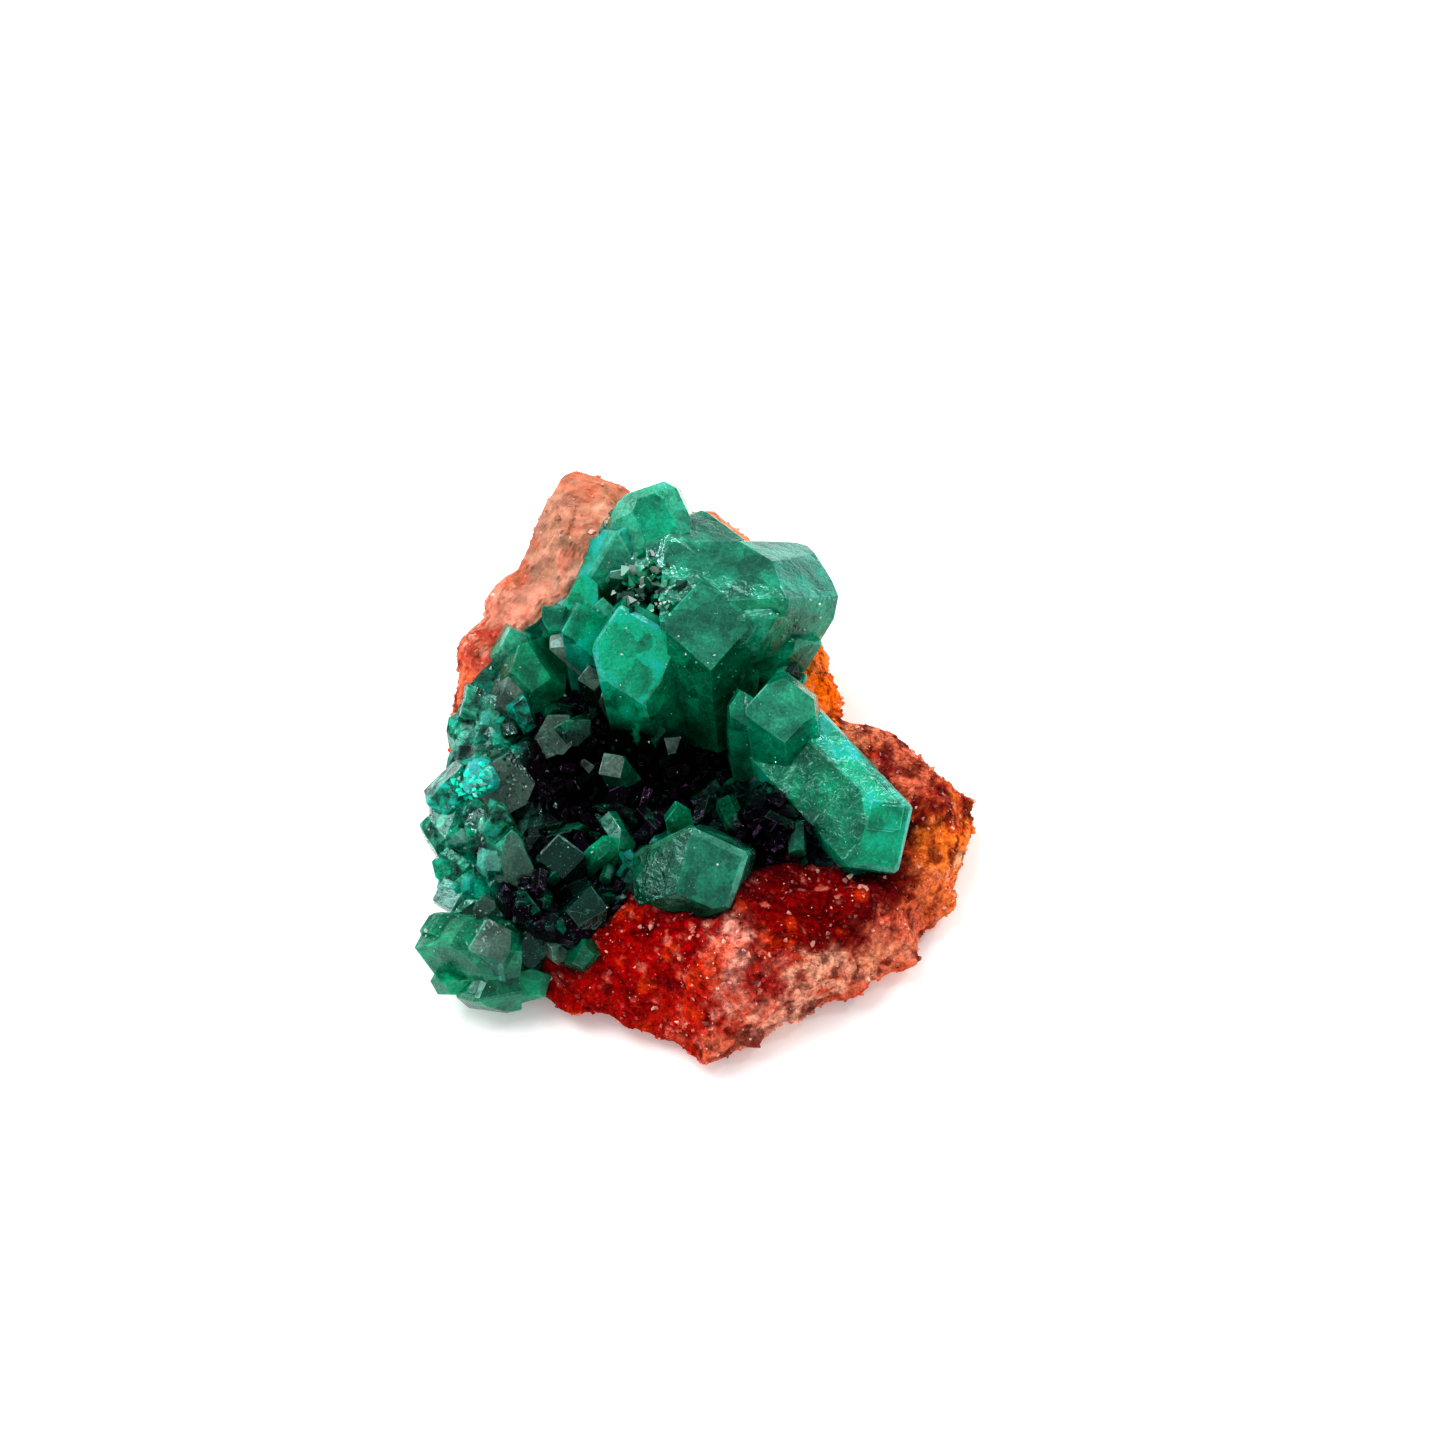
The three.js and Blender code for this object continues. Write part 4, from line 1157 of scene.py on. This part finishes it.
def keep_largest_shell(piece):
    """Deletes loose chips and sealed pockets. Every point takes the lowest number found
    along its edges until nothing changes, which numbers the shells."""
    mesh = piece.data
    ends = np.zeros(2 * len(mesh.edges), dtype=np.int64)
    mesh.edges.foreach_get("vertices", ends)
    a, b = ends.reshape(-1, 2).T
    shell = np.arange(len(mesh.vertices))
    while True:
        lowest = shell.copy()
        np.minimum.at(lowest, a, shell[b])
        np.minimum.at(lowest, b, shell[a])
        lowest = lowest[lowest]
        if (lowest == shell).all():
            break
        shell = lowest
    names, counts = np.unique(shell, return_counts=True)
    loose = shell != names[np.argmax(counts)]
    if loose.any():
        work = bmesh.new()
        work.from_mesh(mesh)
        work.verts.ensure_lookup_table()
        bmesh.ops.delete(work, geom=[work.verts[k] for k in np.flatnonzero(loose)], context="VERTS")
        work.to_mesh(mesh)
        work.free()
    return len(names) - 1


for piece in crystal_pieces:
    apply_boolean(crystal_cluster, "UNION", piece)
print("fused faces", len(crystal_cluster.data.polygons))

# %% Cut out the rock
CUTTER_DEPTH = -1
coarse = rock_grid(around=120, top=24, side=10, foot=4)
coarse = coarse + 0.05 * grid_normals(coarse)
coarse[-1, :, 2] = CUTTER_DEPTH
rock_cutter = new_piece("rock_cutter", *closed_grid(coarse, bottom=[0, 0, CUTTER_DEPTH]))
apply_boolean(crystal_cluster, "DIFFERENCE", rock_cutter)
dropped = keep_largest_shell(crystal_cluster)
for piece in [*crystal_pieces, rock_cutter]:
    mesh = piece.data
    bpy.data.objects.remove(piece)
    bpy.data.meshes.remove(mesh)
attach(crystal_cluster, "root")
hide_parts("dioptase_cluster")
print("cluster faces", len(crystal_cluster.data.polygons), "shells dropped", dropped)

# %% [markdown]
# Between the large crystals the crust is covered with small ones. They are too many to
# fuse one by one, so they are their own piece: six different small crystals, each
# worked out once from its planes and then set down again and again with other sizes and
# turns. Each is a closed shape of a few dozen faces, with its root sunk in the crust.

# %% Fine druse
def druse_shapes(count):
    """Small crystals one unit wide with their tip at the origin: corners, faces, and the
    face of each corner."""
    random = np.random.default_rng(900)
    shapes = []
    while len(shapes) < count:
        cut = {"r0": random.uniform(-0.2, 0.05), "p1": random.uniform(-0.1, 0.1)}
        plain = main_planes(1, 2.4, cut, None)
        planes = np.concatenate([plain, round_planes(plain, 0.07, random)])
        corners = corner_points(planes)
        faces, _ = plane_faces(corners, planes)
        if is_closed(faces):
            shapes.append((corners, faces))
    return shapes


def pick_looks(names, count, random):
    """Colours of looks picked at random from names."""
    return np.array([LOOKS[name] for name in random.choice(names, count)])


print("faces of small crystals:", [len(faces) for _, faces in druse_shapes(3)])

# %% Place the druse
DRUSE_TRIES = 2200
# share of the druse that is kept on the left flank, and the narrowest crystal
FLANK_SHARE, NARROWEST = 0.2, 0.45
random = np.random.default_rng(31)
ring, spoke, spots = open_crust(DRUSE_TRIES, 0.35, 2.6, random)
keep = (spots[:, 0] > FLANK_EDGE) | in_painted_shade(spots) | (random.uniform(size=len(spots)) < FLANK_SHARE)
ring, spoke, spots = ring[keep], spoke[keep], spots[keep]
count = len(spots)
normals = grid_normals(crust)[ring, spoke]
in_hollow = in_painted_shade(spots)
near_rim = np.clip(4 * ring / crust_rings - 3, 0, 1)
widths = mix(NARROWEST + 1.35 * random.uniform(size=count) ** 2, NARROWEST, near_rim)
tips = spots + normals * (0.2 + 0.35 * widths)[:, None]
axes = random_axes(normals, 0.45, random)
druse_points, druse_faces, druse_owner = set_down(druse_shapes(6), tips, axes, widths)
fine_druse = new_piece("fine_druse", druse_points, druse_faces)
dark_looks = pick_looks(DARK_LOOKS, count, random)
green_looks = pick_looks(GREEN_LOOKS, count, random)
# painted shade: in the hollows and on the left flank the druse takes dark looks, as the gaps between
# crystals lie in shadow
shaded_druse = in_hollow | (spots[:, 0] < FLANK_EDGE)
druse_tint = np.where(shaded_druse[:, None], dark_looks, green_looks)[druse_owner]
druse_tint = druse_tint * random.uniform(0.7, 1.3, len(druse_tint))[:, None]
store(fine_druse, "tint", per_corner(druse_tint, druse_faces))
store(fine_druse, "dark", in_hollow[druse_owner], "INT", "FACE")
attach(fine_druse, "root")
print("fine druse", count, "crystals,", len(druse_faces), "faces")

# %% [markdown]
# Last come small broken chips: pale specks over all the crystals, and thicker patches of
# them where the crystals are damaged or where a pocket between them is full of crumbs. The
# pale and bright chips are partly painted glints that stand for small sparkles of light on
# the faces, and the near-black ones in the pocket are painted shade. A straight line towards
# the face finds the crystal under each chip, which is half sunk there.

# %% Crystal chips
# patches on the face: middle across and up, spread, count, widest chip, looks
CHIP_PATCHES = [
    (-3.7, 13.3, 0.95, 90, 0.8, ["deep", "deep", "dark", "dark", "night", "slate"]),
    (-3.6, 13.2, 1, 9, 0.8, ["pale", "grey"]),
    (-2.2, 11.8, 0.5, 20, 0.26, ["pale", "mist", "green_grey"]),
    (-1.2, 12.9, 0.5, 16, 0.26, ["pale", "mist", "green_grey"]),
    (10.4, 12.3, 1.2, 26, 0.24, ["pale", "mist", "sea"]),
    (7.6, 10.2, 1.4, 16, 0.2, ["pale", "mist", "sea"]),
    (-5.2, 10.4, 1.2, 10, 0.16, ["pale", "mist"]),
    (2.2, 7, 1.2, 18, 0.16, ["mist", "sea", "pale"]),
    (-20.5, -12.2, 1.2, 20, 0.26, ["mist", "pale", "grey"]),
    (-16, 8, 1.6, 26, 0.3, ["mist", "pale", "slate"]),
    (-18.5, -5, 2, 40, 0.3, ["mist", "pale", "turquoise", "grey"]),
    (-15.4, -12.2, 0.8, 50, 0.2, ["grey", "grey", "mist"]),
    (-16.3, -1.2, 0.6, 36, 0.5, ["bright", "bright", "turquoise", "mist"]),
    (-4, -2, 6, 30, 0.18, ["pale", "grey", "mist"]),
    (-2, 3, 12, 130, 0.11, ["pale", "mist"]),
    (-13.2, -0.8, 0.9, 40, 0.26, ["grey", "dark", "dark"]),
    (9.5, -1.5, 2.6, 40, 0.15, ["mist", "bright"]),
]
# how far out from the face the straight lines start
LINE_START = 60


def chip_places(surface, random):
    """Places, normals, widths and looks of the chips that find a crystal below them."""
    places, normals, widths, looks = [], [], [], []
    for across, up, spread, count, widest, names in CHIP_PATCHES:
        for a, b in random.normal((across, up), spread, (count, 2)):
            start = Vector(face_point(a, b, LINE_START) * MM)
            place, normal, _, _ = surface.ray_cast(start, Vector(-OUT))
            if place is None:
                continue
            places.append(place / MM)
            normals.append(normal)
            widths.append(widest * random.uniform(0.25, 1))
            looks.append(LOOKS[random.choice(names)])
    return np.array(places), np.array(normals), np.array(widths), np.array(looks)


print(sum(row[3] for row in CHIP_PATCHES), "chips are tried")

# %% Place the chips
random = np.random.default_rng(64)
surface = BVHTree.FromObject(crystal_cluster, bpy.context.evaluated_depsgraph_get())
places, normals, widths, chip_looks = chip_places(surface, random)
axes = random_axes(normals, 0.7, random)
chip_points, chip_faces, chip_owner = set_down(grain_shapes(9, 8), places, axes, widths)
crystal_chips = new_piece("crystal_chips", chip_points, chip_faces)
chip_tint = chip_looks[chip_owner] * random.uniform(0.8, 1.2, len(chip_faces))[:, None]
store(crystal_chips, "tint", per_corner(chip_tint, chip_faces))
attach(crystal_chips, "root")
print("crystal chips", len(places), "with", len(chip_faces), "faces")

# %% [markdown]
# ## Materials
#
# A material is a tree of nodes. The helpers below add a node and link its inputs in one
# call, so that each finish can be read as a recipe. Patterns run on object coordinates, with
# sizes in millimetres. Only the growth lines follow each crystal's own coordinates.

# %% Node helpers
def new_material(name):
    """Empty node material with a Principled shader and its output."""
    material = bpy.data.materials.new(name)
    material.use_nodes = True
    tree = material.node_tree
    shader = tree.nodes["Principled BSDF"]
    return material, tree, shader


def add_node(tree, kind, inputs={}, **settings):
    """Adds a node, sets its properties, and links or sets its inputs."""
    made = tree.nodes.new(kind)
    for name, value in settings.items():
        setattr(made, name, value)
    for name, value in inputs.items():
        if isinstance(value, bpy.types.NodeSocket):
            tree.links.new(value, made.inputs[name])
        else:
            made.inputs[name].default_value = value
    return made


def set_inputs(node, values):
    """Sets inputs of a node by their names."""
    for name, value in values.items():
        node.inputs[name].default_value = value


def ramp(tree, factor, stops):
    """Colour ramp from stops of (place, grey level or colour)."""
    made = add_node(tree, "ShaderNodeValToRGB", {"Fac": factor})
    elements = made.color_ramp.elements
    while len(elements) < len(stops):
        elements.new(0.5)
    for element, (place, value) in zip(elements, stops):
        element.position = place
        grey = isinstance(value, (int, float))
        element.color = (value, value, value, 1) if grey else (*value, 1)
    return made.outputs["Color"]


def blend(tree, a, b, factor, kind="MIX"):
    """Mixes two colours."""
    made = tree.nodes.new("ShaderNodeMix")
    made.data_type = "RGBA"
    made.blend_type = kind
    for socket, value in ((made.inputs[0], factor), (made.inputs[6], a), (made.inputs[7], b)):
        if isinstance(value, bpy.types.NodeSocket):
            tree.links.new(value, socket)
        elif isinstance(value, (int, float)):
            socket.default_value = value
        else:
            socket.default_value = (*value, 1)
    return made.outputs[2]


def times(tree, colour, share):
    """Multiplies two colours."""
    return blend(tree, colour, share, 1.0, "MULTIPLY")


node_makers = (add_node, ramp, blend, times)
print("ways to add a node:", [maker.__name__ for maker in node_makers])


# %% Pattern helpers
def stored(tree, name, output="Color"):
    """Reads an attribute stored on the piece."""
    return add_node(tree, "ShaderNodeAttribute", attribute_name=name).outputs[output]


def noise(tree, vector, size, detail=3, roughness=0.55):
    """Noise whose lumps are about a size in millimetres, on object coordinates."""
    made = add_node(tree, "ShaderNodeTexNoise",
                    {"Vector": vector, "Scale": 1 / (size * MM), "Detail": detail, "Roughness": roughness})
    return made.outputs["Fac"]


def ball(tree, vector, middle, radii):
    """Soft ball on object coordinates: one in its middle, falling evenly to nothing at its
    radii. Middle and radii are given across, up and out on the face."""
    local = add_node(tree, "ShaderNodeMapping", {
        "Vector": vector, "Location": tuple(face_point(*middle) * MM), "Rotation": (FACE_LEAN, 0, 0),
        "Scale": tuple(r * MM for r in radii)}, vector_type="TEXTURE")
    made = add_node(tree, "ShaderNodeTexGradient", {"Vector": local.outputs["Vector"]},
                    gradient_type="SPHERICAL")
    return made.outputs["Fac"]


print("middle of the face in metres:", tuple(face_point(0, 0, 0) * MM))

# %% [markdown]
# The rock is dull, mottled and rough. An image of rock could be wrapped round it, but noise
# has no seams and stays sharp. So the wide colour patches are read from the points, and
# noise of about half a millimetre breaks them up into grains, pale frost and dark pits. The
# loose grains have the same colours and more gloss.

# %% Rock material
rock_material, tree, shader = new_material("rock")
place = add_node(tree, "ShaderNodeTexCoord").outputs["Object"]
# up the face the rock is calmer: there the mottle is softer and has no pits
parts = add_node(tree, "ShaderNodeSeparateXYZ", {"Vector": place}).outputs
behind = add_node(tree, "ShaderNodeMapRange", {"Value": parts["Y"], "From Min": 3 * MM, "From Max": 9 * MM})
high = add_node(tree, "ShaderNodeMapRange", {"Value": parts["Z"], "From Min": 8 * MM, "From Max": 10 * MM})
calm_part = times(tree, behind.outputs["Result"], high.outputs["Result"])
grainy = ramp(tree, noise(tree, place, 0.5, 5, 0.75), [(0.37, 0.5), (0.5, 0.97), (0.63, 1.5)])
soft = ramp(tree, noise(tree, place, 0.8, 6, 0.66), [(0.36, 0.72), (0.5, 0.97), (0.64, 1.2)])
mottle = blend(tree, grainy, soft, calm_part)
colour = times(tree, stored(tree, "rock_tint"), mottle)
frost = ramp(tree, noise(tree, place, 0.3, 4, 0.75), [(0.62, 0.0), (0.70, 0.4)])
colour = blend(tree, colour, linear(244, 176, 160), frost)
pits = ramp(tree, noise(tree, place, 0.42, 3, 0.7), [(0.28, 0.75), (0.38, 0.0)])
pits = blend(tree, pits, (0, 0, 0), calm_part)
colour = blend(tree, colour, linear(92, 0, 12), pits)
tree.links.new(colour, shader.inputs["Base Color"])
gloss = ramp(tree, noise(tree, place, 0.5, 3), [(0.35, 0.7), (0.65, 0.38)])
tree.links.new(gloss, shader.inputs["Roughness"])
set_inputs(shader, {"Specular IOR Level": 0.05})
bumps = add_node(tree, "ShaderNodeBump", {"Height": noise(tree, place, 0.24, 5, 0.75),
                                          "Strength": 0.7, "Distance": 0.16 * MM})
tree.links.new(bumps.outputs["Normal"], shader.inputs["Normal"])
matrix_rock.data.materials.append(rock_material)
print("rock material nodes", len(tree.nodes))

# %% Grain material
grain_material, tree, shader = new_material("grain")
place = add_node(tree, "ShaderNodeTexCoord").outputs["Object"]
mottle = ramp(tree, noise(tree, place, 0.3, 3, 0.7), [(0.35, 0.7), (0.65, 1.15)])
tree.links.new(times(tree, stored(tree, "rock_tint"), mottle), shader.inputs["Base Color"])
set_inputs(shader, {"Roughness": 0.22, "Specular IOR Level": 0.4})
rock_grains.data.materials.append(grain_material)
print("grain material nodes", len(tree.nodes))

# %% [markdown]
# The crystals are clear but cloudy. As plain glass they would show the dark crust behind
# them, and as plain green paint they would look like plastic. So they let more than half of
# the light through, absorb red on the way, and scatter the rest, which gives the soft inner
# green. Voronoi cells and bent noise give them inner blocks, cracks, veils and flecks; the
# white flecks are partly painted glints. In the deep hollows little light arrives, so soft
# balls of painted shade darken them, except for the faces whose look is marked as lit.

# %% Crystal colour
crystal_material, tree, shader = new_material("crystal")
place = add_node(tree, "ShaderNodeTexCoord").outputs["Object"]
cloud = ramp(tree, noise(tree, place, 2.2, 4, 0.6), [(0.34, 0.6), (0.5, 0.95), (0.66, 1.4)])
colour = times(tree, stored(tree, "tint"), cloud)
speckle = ramp(tree, noise(tree, place, 0.22, 3, 0.7), [(0.36, 0.72), (0.64, 1.22)])
colour = times(tree, colour, speckle)
# blocks and cracks follow bent coordinates, which makes their borders crooked
bend = add_node(tree, "ShaderNodeTexNoise", {"Vector": place, "Scale": 1 / (1.1 * MM), "Detail": 3.0})
bend = add_node(tree, "ShaderNodeVectorMath", {0: bend.outputs["Color"], "Scale": 1.3 * MM},
                operation="SCALE")
bent = add_node(tree, "ShaderNodeVectorMath", {0: place, 1: bend.outputs["Vector"]}).outputs["Vector"]
blocks = add_node(tree, "ShaderNodeTexVoronoi", {"Vector": bent, "Scale": 1 / (1.7 * MM)})
mosaic = ramp(tree, blocks.outputs["Color"], [(0.2, 0.72), (0.8, 1.22)])
colour = times(tree, colour, mosaic)
cracks = add_node(tree, "ShaderNodeTexVoronoi", {"Vector": bent, "Scale": 1 / (2.6 * MM)},
                  feature="DISTANCE_TO_EDGE").outputs["Distance"]
cracks = ramp(tree, cracks, [(0.003, 0.4), (0.024, 0.0)])
patchy = ramp(tree, noise(tree, place, 1.5, 3), [(0.46, 0.0), (0.58, 1.0)])
colour = blend(tree, colour, linear(120, 214, 190), times(tree, cracks, patchy))
veil = ramp(tree, noise(tree, place, 0.5, 4, 0.7), [(0.6, 0.0), (0.78, 0.5)])
colour = blend(tree, colour, linear(120, 206, 184), veil)
# white flecks: partly specks in the crystal, partly painted glints of light
flecks = ramp(tree, noise(tree, place, 0.17, 2), [(0.7, 0.0), (0.73, 1.0)])
colour = blend(tree, colour, linear(226, 244, 236), flecks)
print("crystal colour nodes", len(tree.nodes))

# %% Flaws and shade
# shade in the hollows: middle across, up and out, radii, how much of the colour is left,
# and how much of it is left in the clear green spots
HOLLOW_SHADES = [
    ((-4.5, -1.4, -1.5), (9.5, 7.7, 7), 0.02, 0.6),
    ((-11, -10.3, 3), (6, 5.4, 4.4), 0.03, 0.25),
    ((6, -5.8, 3.2), (5.4, 4.4, 4.4), 0.02, 0),
    ((-10, -1.5, 0), (3.6, 5, 6), 0.02, 0),
]
lit = stored(tree, "lit", "Fac")
# the left flank's crystals are flawed: black and bright patches side by side
flank = ramp(tree, ball(tree, place, (-15, -1, 1), (9, 11, 9)), [(0.0, 0.0), (0.25, 1.0)])
flaws = ramp(tree, noise(tree, bent, 1.6, 4, 0.65), [(0.4, 0.08), (0.5, 0.75), (0.6, 1.8)])
flaws = blend(tree, flaws, (1, 1, 1), lit)
colour = times(tree, colour, blend(tree, (1, 1, 1), flaws, flank))
for middle, radii, dark, clear in HOLLOW_SHADES:
    glow = ramp(tree, noise(tree, place, 1.8, 3), [(0.54, 0.0), (0.63, clear)])
    glow = blend(tree, glow, (1, 1, 1), lit)
    shade = ramp(tree, ball(tree, place, middle, radii), [(0.0, 1.0), (0.24, 0.8), (0.46, dark)])
    shade = blend(tree, shade, glow, 1.0, "LIGHTEN")
    colour = times(tree, colour, shade)
tree.links.new(colour, shader.inputs["Base Color"])
print("crystal colour nodes with flaws and shade", len(tree.nodes))

# %% Crystal surface and light
CLEARNESS, DIOPTASE_IOR = 0.62, 1.67
haze = ramp(tree, noise(tree, place, 1.4, 4, 0.6), [(0.3, 0.06), (0.7, 0.2)])
tree.links.new(haze, shader.inputs["Roughness"])
set_inputs(shader, {
    "IOR": DIOPTASE_IOR, "Specular IOR Level": 0.36, "Specular Tint": (0.65, 1.0, 0.95, 1),
    "Subsurface Weight": 0.8, "Subsurface Radius": (0.2, 1.0, 0.9), "Subsurface Scale": 1.2 * MM,
    "Transmission Weight": CLEARNESS})
# growth lines run along the crystal: its own coordinates, drawn out along its axis
own = stored(tree, "growth", "Vector")
lines = add_node(tree, "ShaderNodeMapping", {"Vector": own, "Scale": (7.0, 7.0, 0.8)}).outputs["Vector"]
lines = add_node(tree, "ShaderNodeTexNoise",
                 {"Vector": lines, "Scale": 1.0, "Detail": 4.0, "Roughness": 0.6})
height = blend(tree, lines.outputs["Color"], noise(tree, place, 0.25, 3), 0.4)
bumps = add_node(tree, "ShaderNodeBump", {"Height": height, "Strength": 0.35, "Distance": 0.05 * MM})
waves = add_node(tree, "ShaderNodeBump", {"Height": noise(tree, bent, 1.5, 3, 0.6), "Strength": 0.6,
                                          "Distance": 0.3 * MM, "Normal": bumps.outputs["Normal"]})
tree.links.new(waves.outputs["Normal"], shader.inputs["Normal"])
absorption = add_node(tree, "ShaderNodeVolumeAbsorption", {"Color": (0.0, 0.82, 0.78, 1), "Density": 340.0})
tree.links.new(absorption.outputs["Volume"], tree.nodes["Material Output"].inputs["Volume"])
print("crystal material nodes", len(tree.nodes))

# %% [markdown]
# In the hollows the same crystal hardly shines, because it mirrors only its dark neighbours.
# More geometry could shut the light out, but a copy of the material with less gloss is
# simpler and keeps the pattern inside. The chips are too small to show any inner pattern,
# so a glossy green that lets a little light through is enough for them.

# %% Shaded crystal material
crystal_cluster.data.materials.clear()
shaded_copy_material = crystal_material.copy()
shaded_copy_material.name = "shaded_crystal"
# painted shade: this copy for the hollows reflects far less and tints its reflections dark purple
set_inputs(shaded_copy_material.node_tree.nodes["Principled BSDF"],
           {"Specular IOR Level": 0.035, "Specular Tint": (0.3, 0.18, 0.34, 1)})
for piece in (crystal_cluster, fine_druse):
    piece.data.materials.append(crystal_material)
    piece.data.materials.append(shaded_copy_material)
    marks = np.zeros(len(piece.data.polygons), dtype=np.int32)
    piece.data.attributes["dark"].data.foreach_get("value", marks)
    piece.data.polygons.foreach_set("material_index", marks)
    print(piece.name, "dark faces", marks.sum())

# %% Chip material
chip_material, tree, shader = new_material("chip")
tree.links.new(stored(tree, "tint"), shader.inputs["Base Color"])
set_inputs(shader, {"Roughness": 0.12, "IOR": DIOPTASE_IOR, "Specular IOR Level": 0.5,
                    "Transmission Weight": 0.15})
crystal_chips.data.materials.append(chip_material)
print("chip material nodes", len(tree.nodes))

# %% [markdown]
# ## Floor and light
#
# The floor and the air around are close to white. An image of a room could light the part,
# but single lights are easier to steer: each glint belongs to one of them. A large soft
# light shines from high on the left and a second one from behind on the right. A third
# lights the left flank, and two small ones put bright glints on edges and broken corners.

# %% Floor
floor_size = 900
corner_signs = [(-1, -1, 0), (1, -1, 0), (1, 1, 0), (-1, 1, 0)]
floor = new_piece("floor", floor_size * np.array(corner_signs), [range(4)])
floor_material, tree, shader = new_material("floor")
set_inputs(shader, {"Base Color": (0.93, 0.93, 0.93, 1), "Roughness": 0.9,
                    "Emission Color": (1, 1, 1, 1), "Emission Strength": 0.12})
floor.data.materials.append(floor_material)
print("floor reaches", floor_size, "mm each way")

# %% Lights
def soft_light(name, place, size, power):
    """Square area light aimed at the specimen's middle."""
    data = bpy.data.lights.new(name, "AREA")
    data.shape = "SQUARE"
    data.size = size * MM
    data.energy = power
    light = bpy.data.objects.new(name, data)
    light.location = Vector(place) * MM
    toward = Vector((0, 0, FACE_HEIGHT * MM)) - light.location
    light.rotation_euler = toward.to_track_quat("-Z", "Y").to_euler()
    bpy.context.scene.collection.objects.link(light)


soft_light("key", [-230, 90, 480], 300, 1.0)
soft_light("left", [-460, 120, 200], 200, 0.35)
soft_light("back", [330, 420, 300], 260, 0.8)
soft_light("glint_left", [-260, 220, 420], 50, 0.22)
soft_light("glint_right", [240, 60, 430], 36, 0.13)

world = bpy.data.worlds.new("studio")
world.use_nodes = True
set_inputs(world.node_tree.nodes["Background"], {"Color": (1, 1, 1, 1), "Strength": 0.5})
bpy.context.scene.world = world
view = bpy.context.scene.view_settings
view.view_transform = "Standard"
view.look = "High Contrast"
view.exposure = 0.15
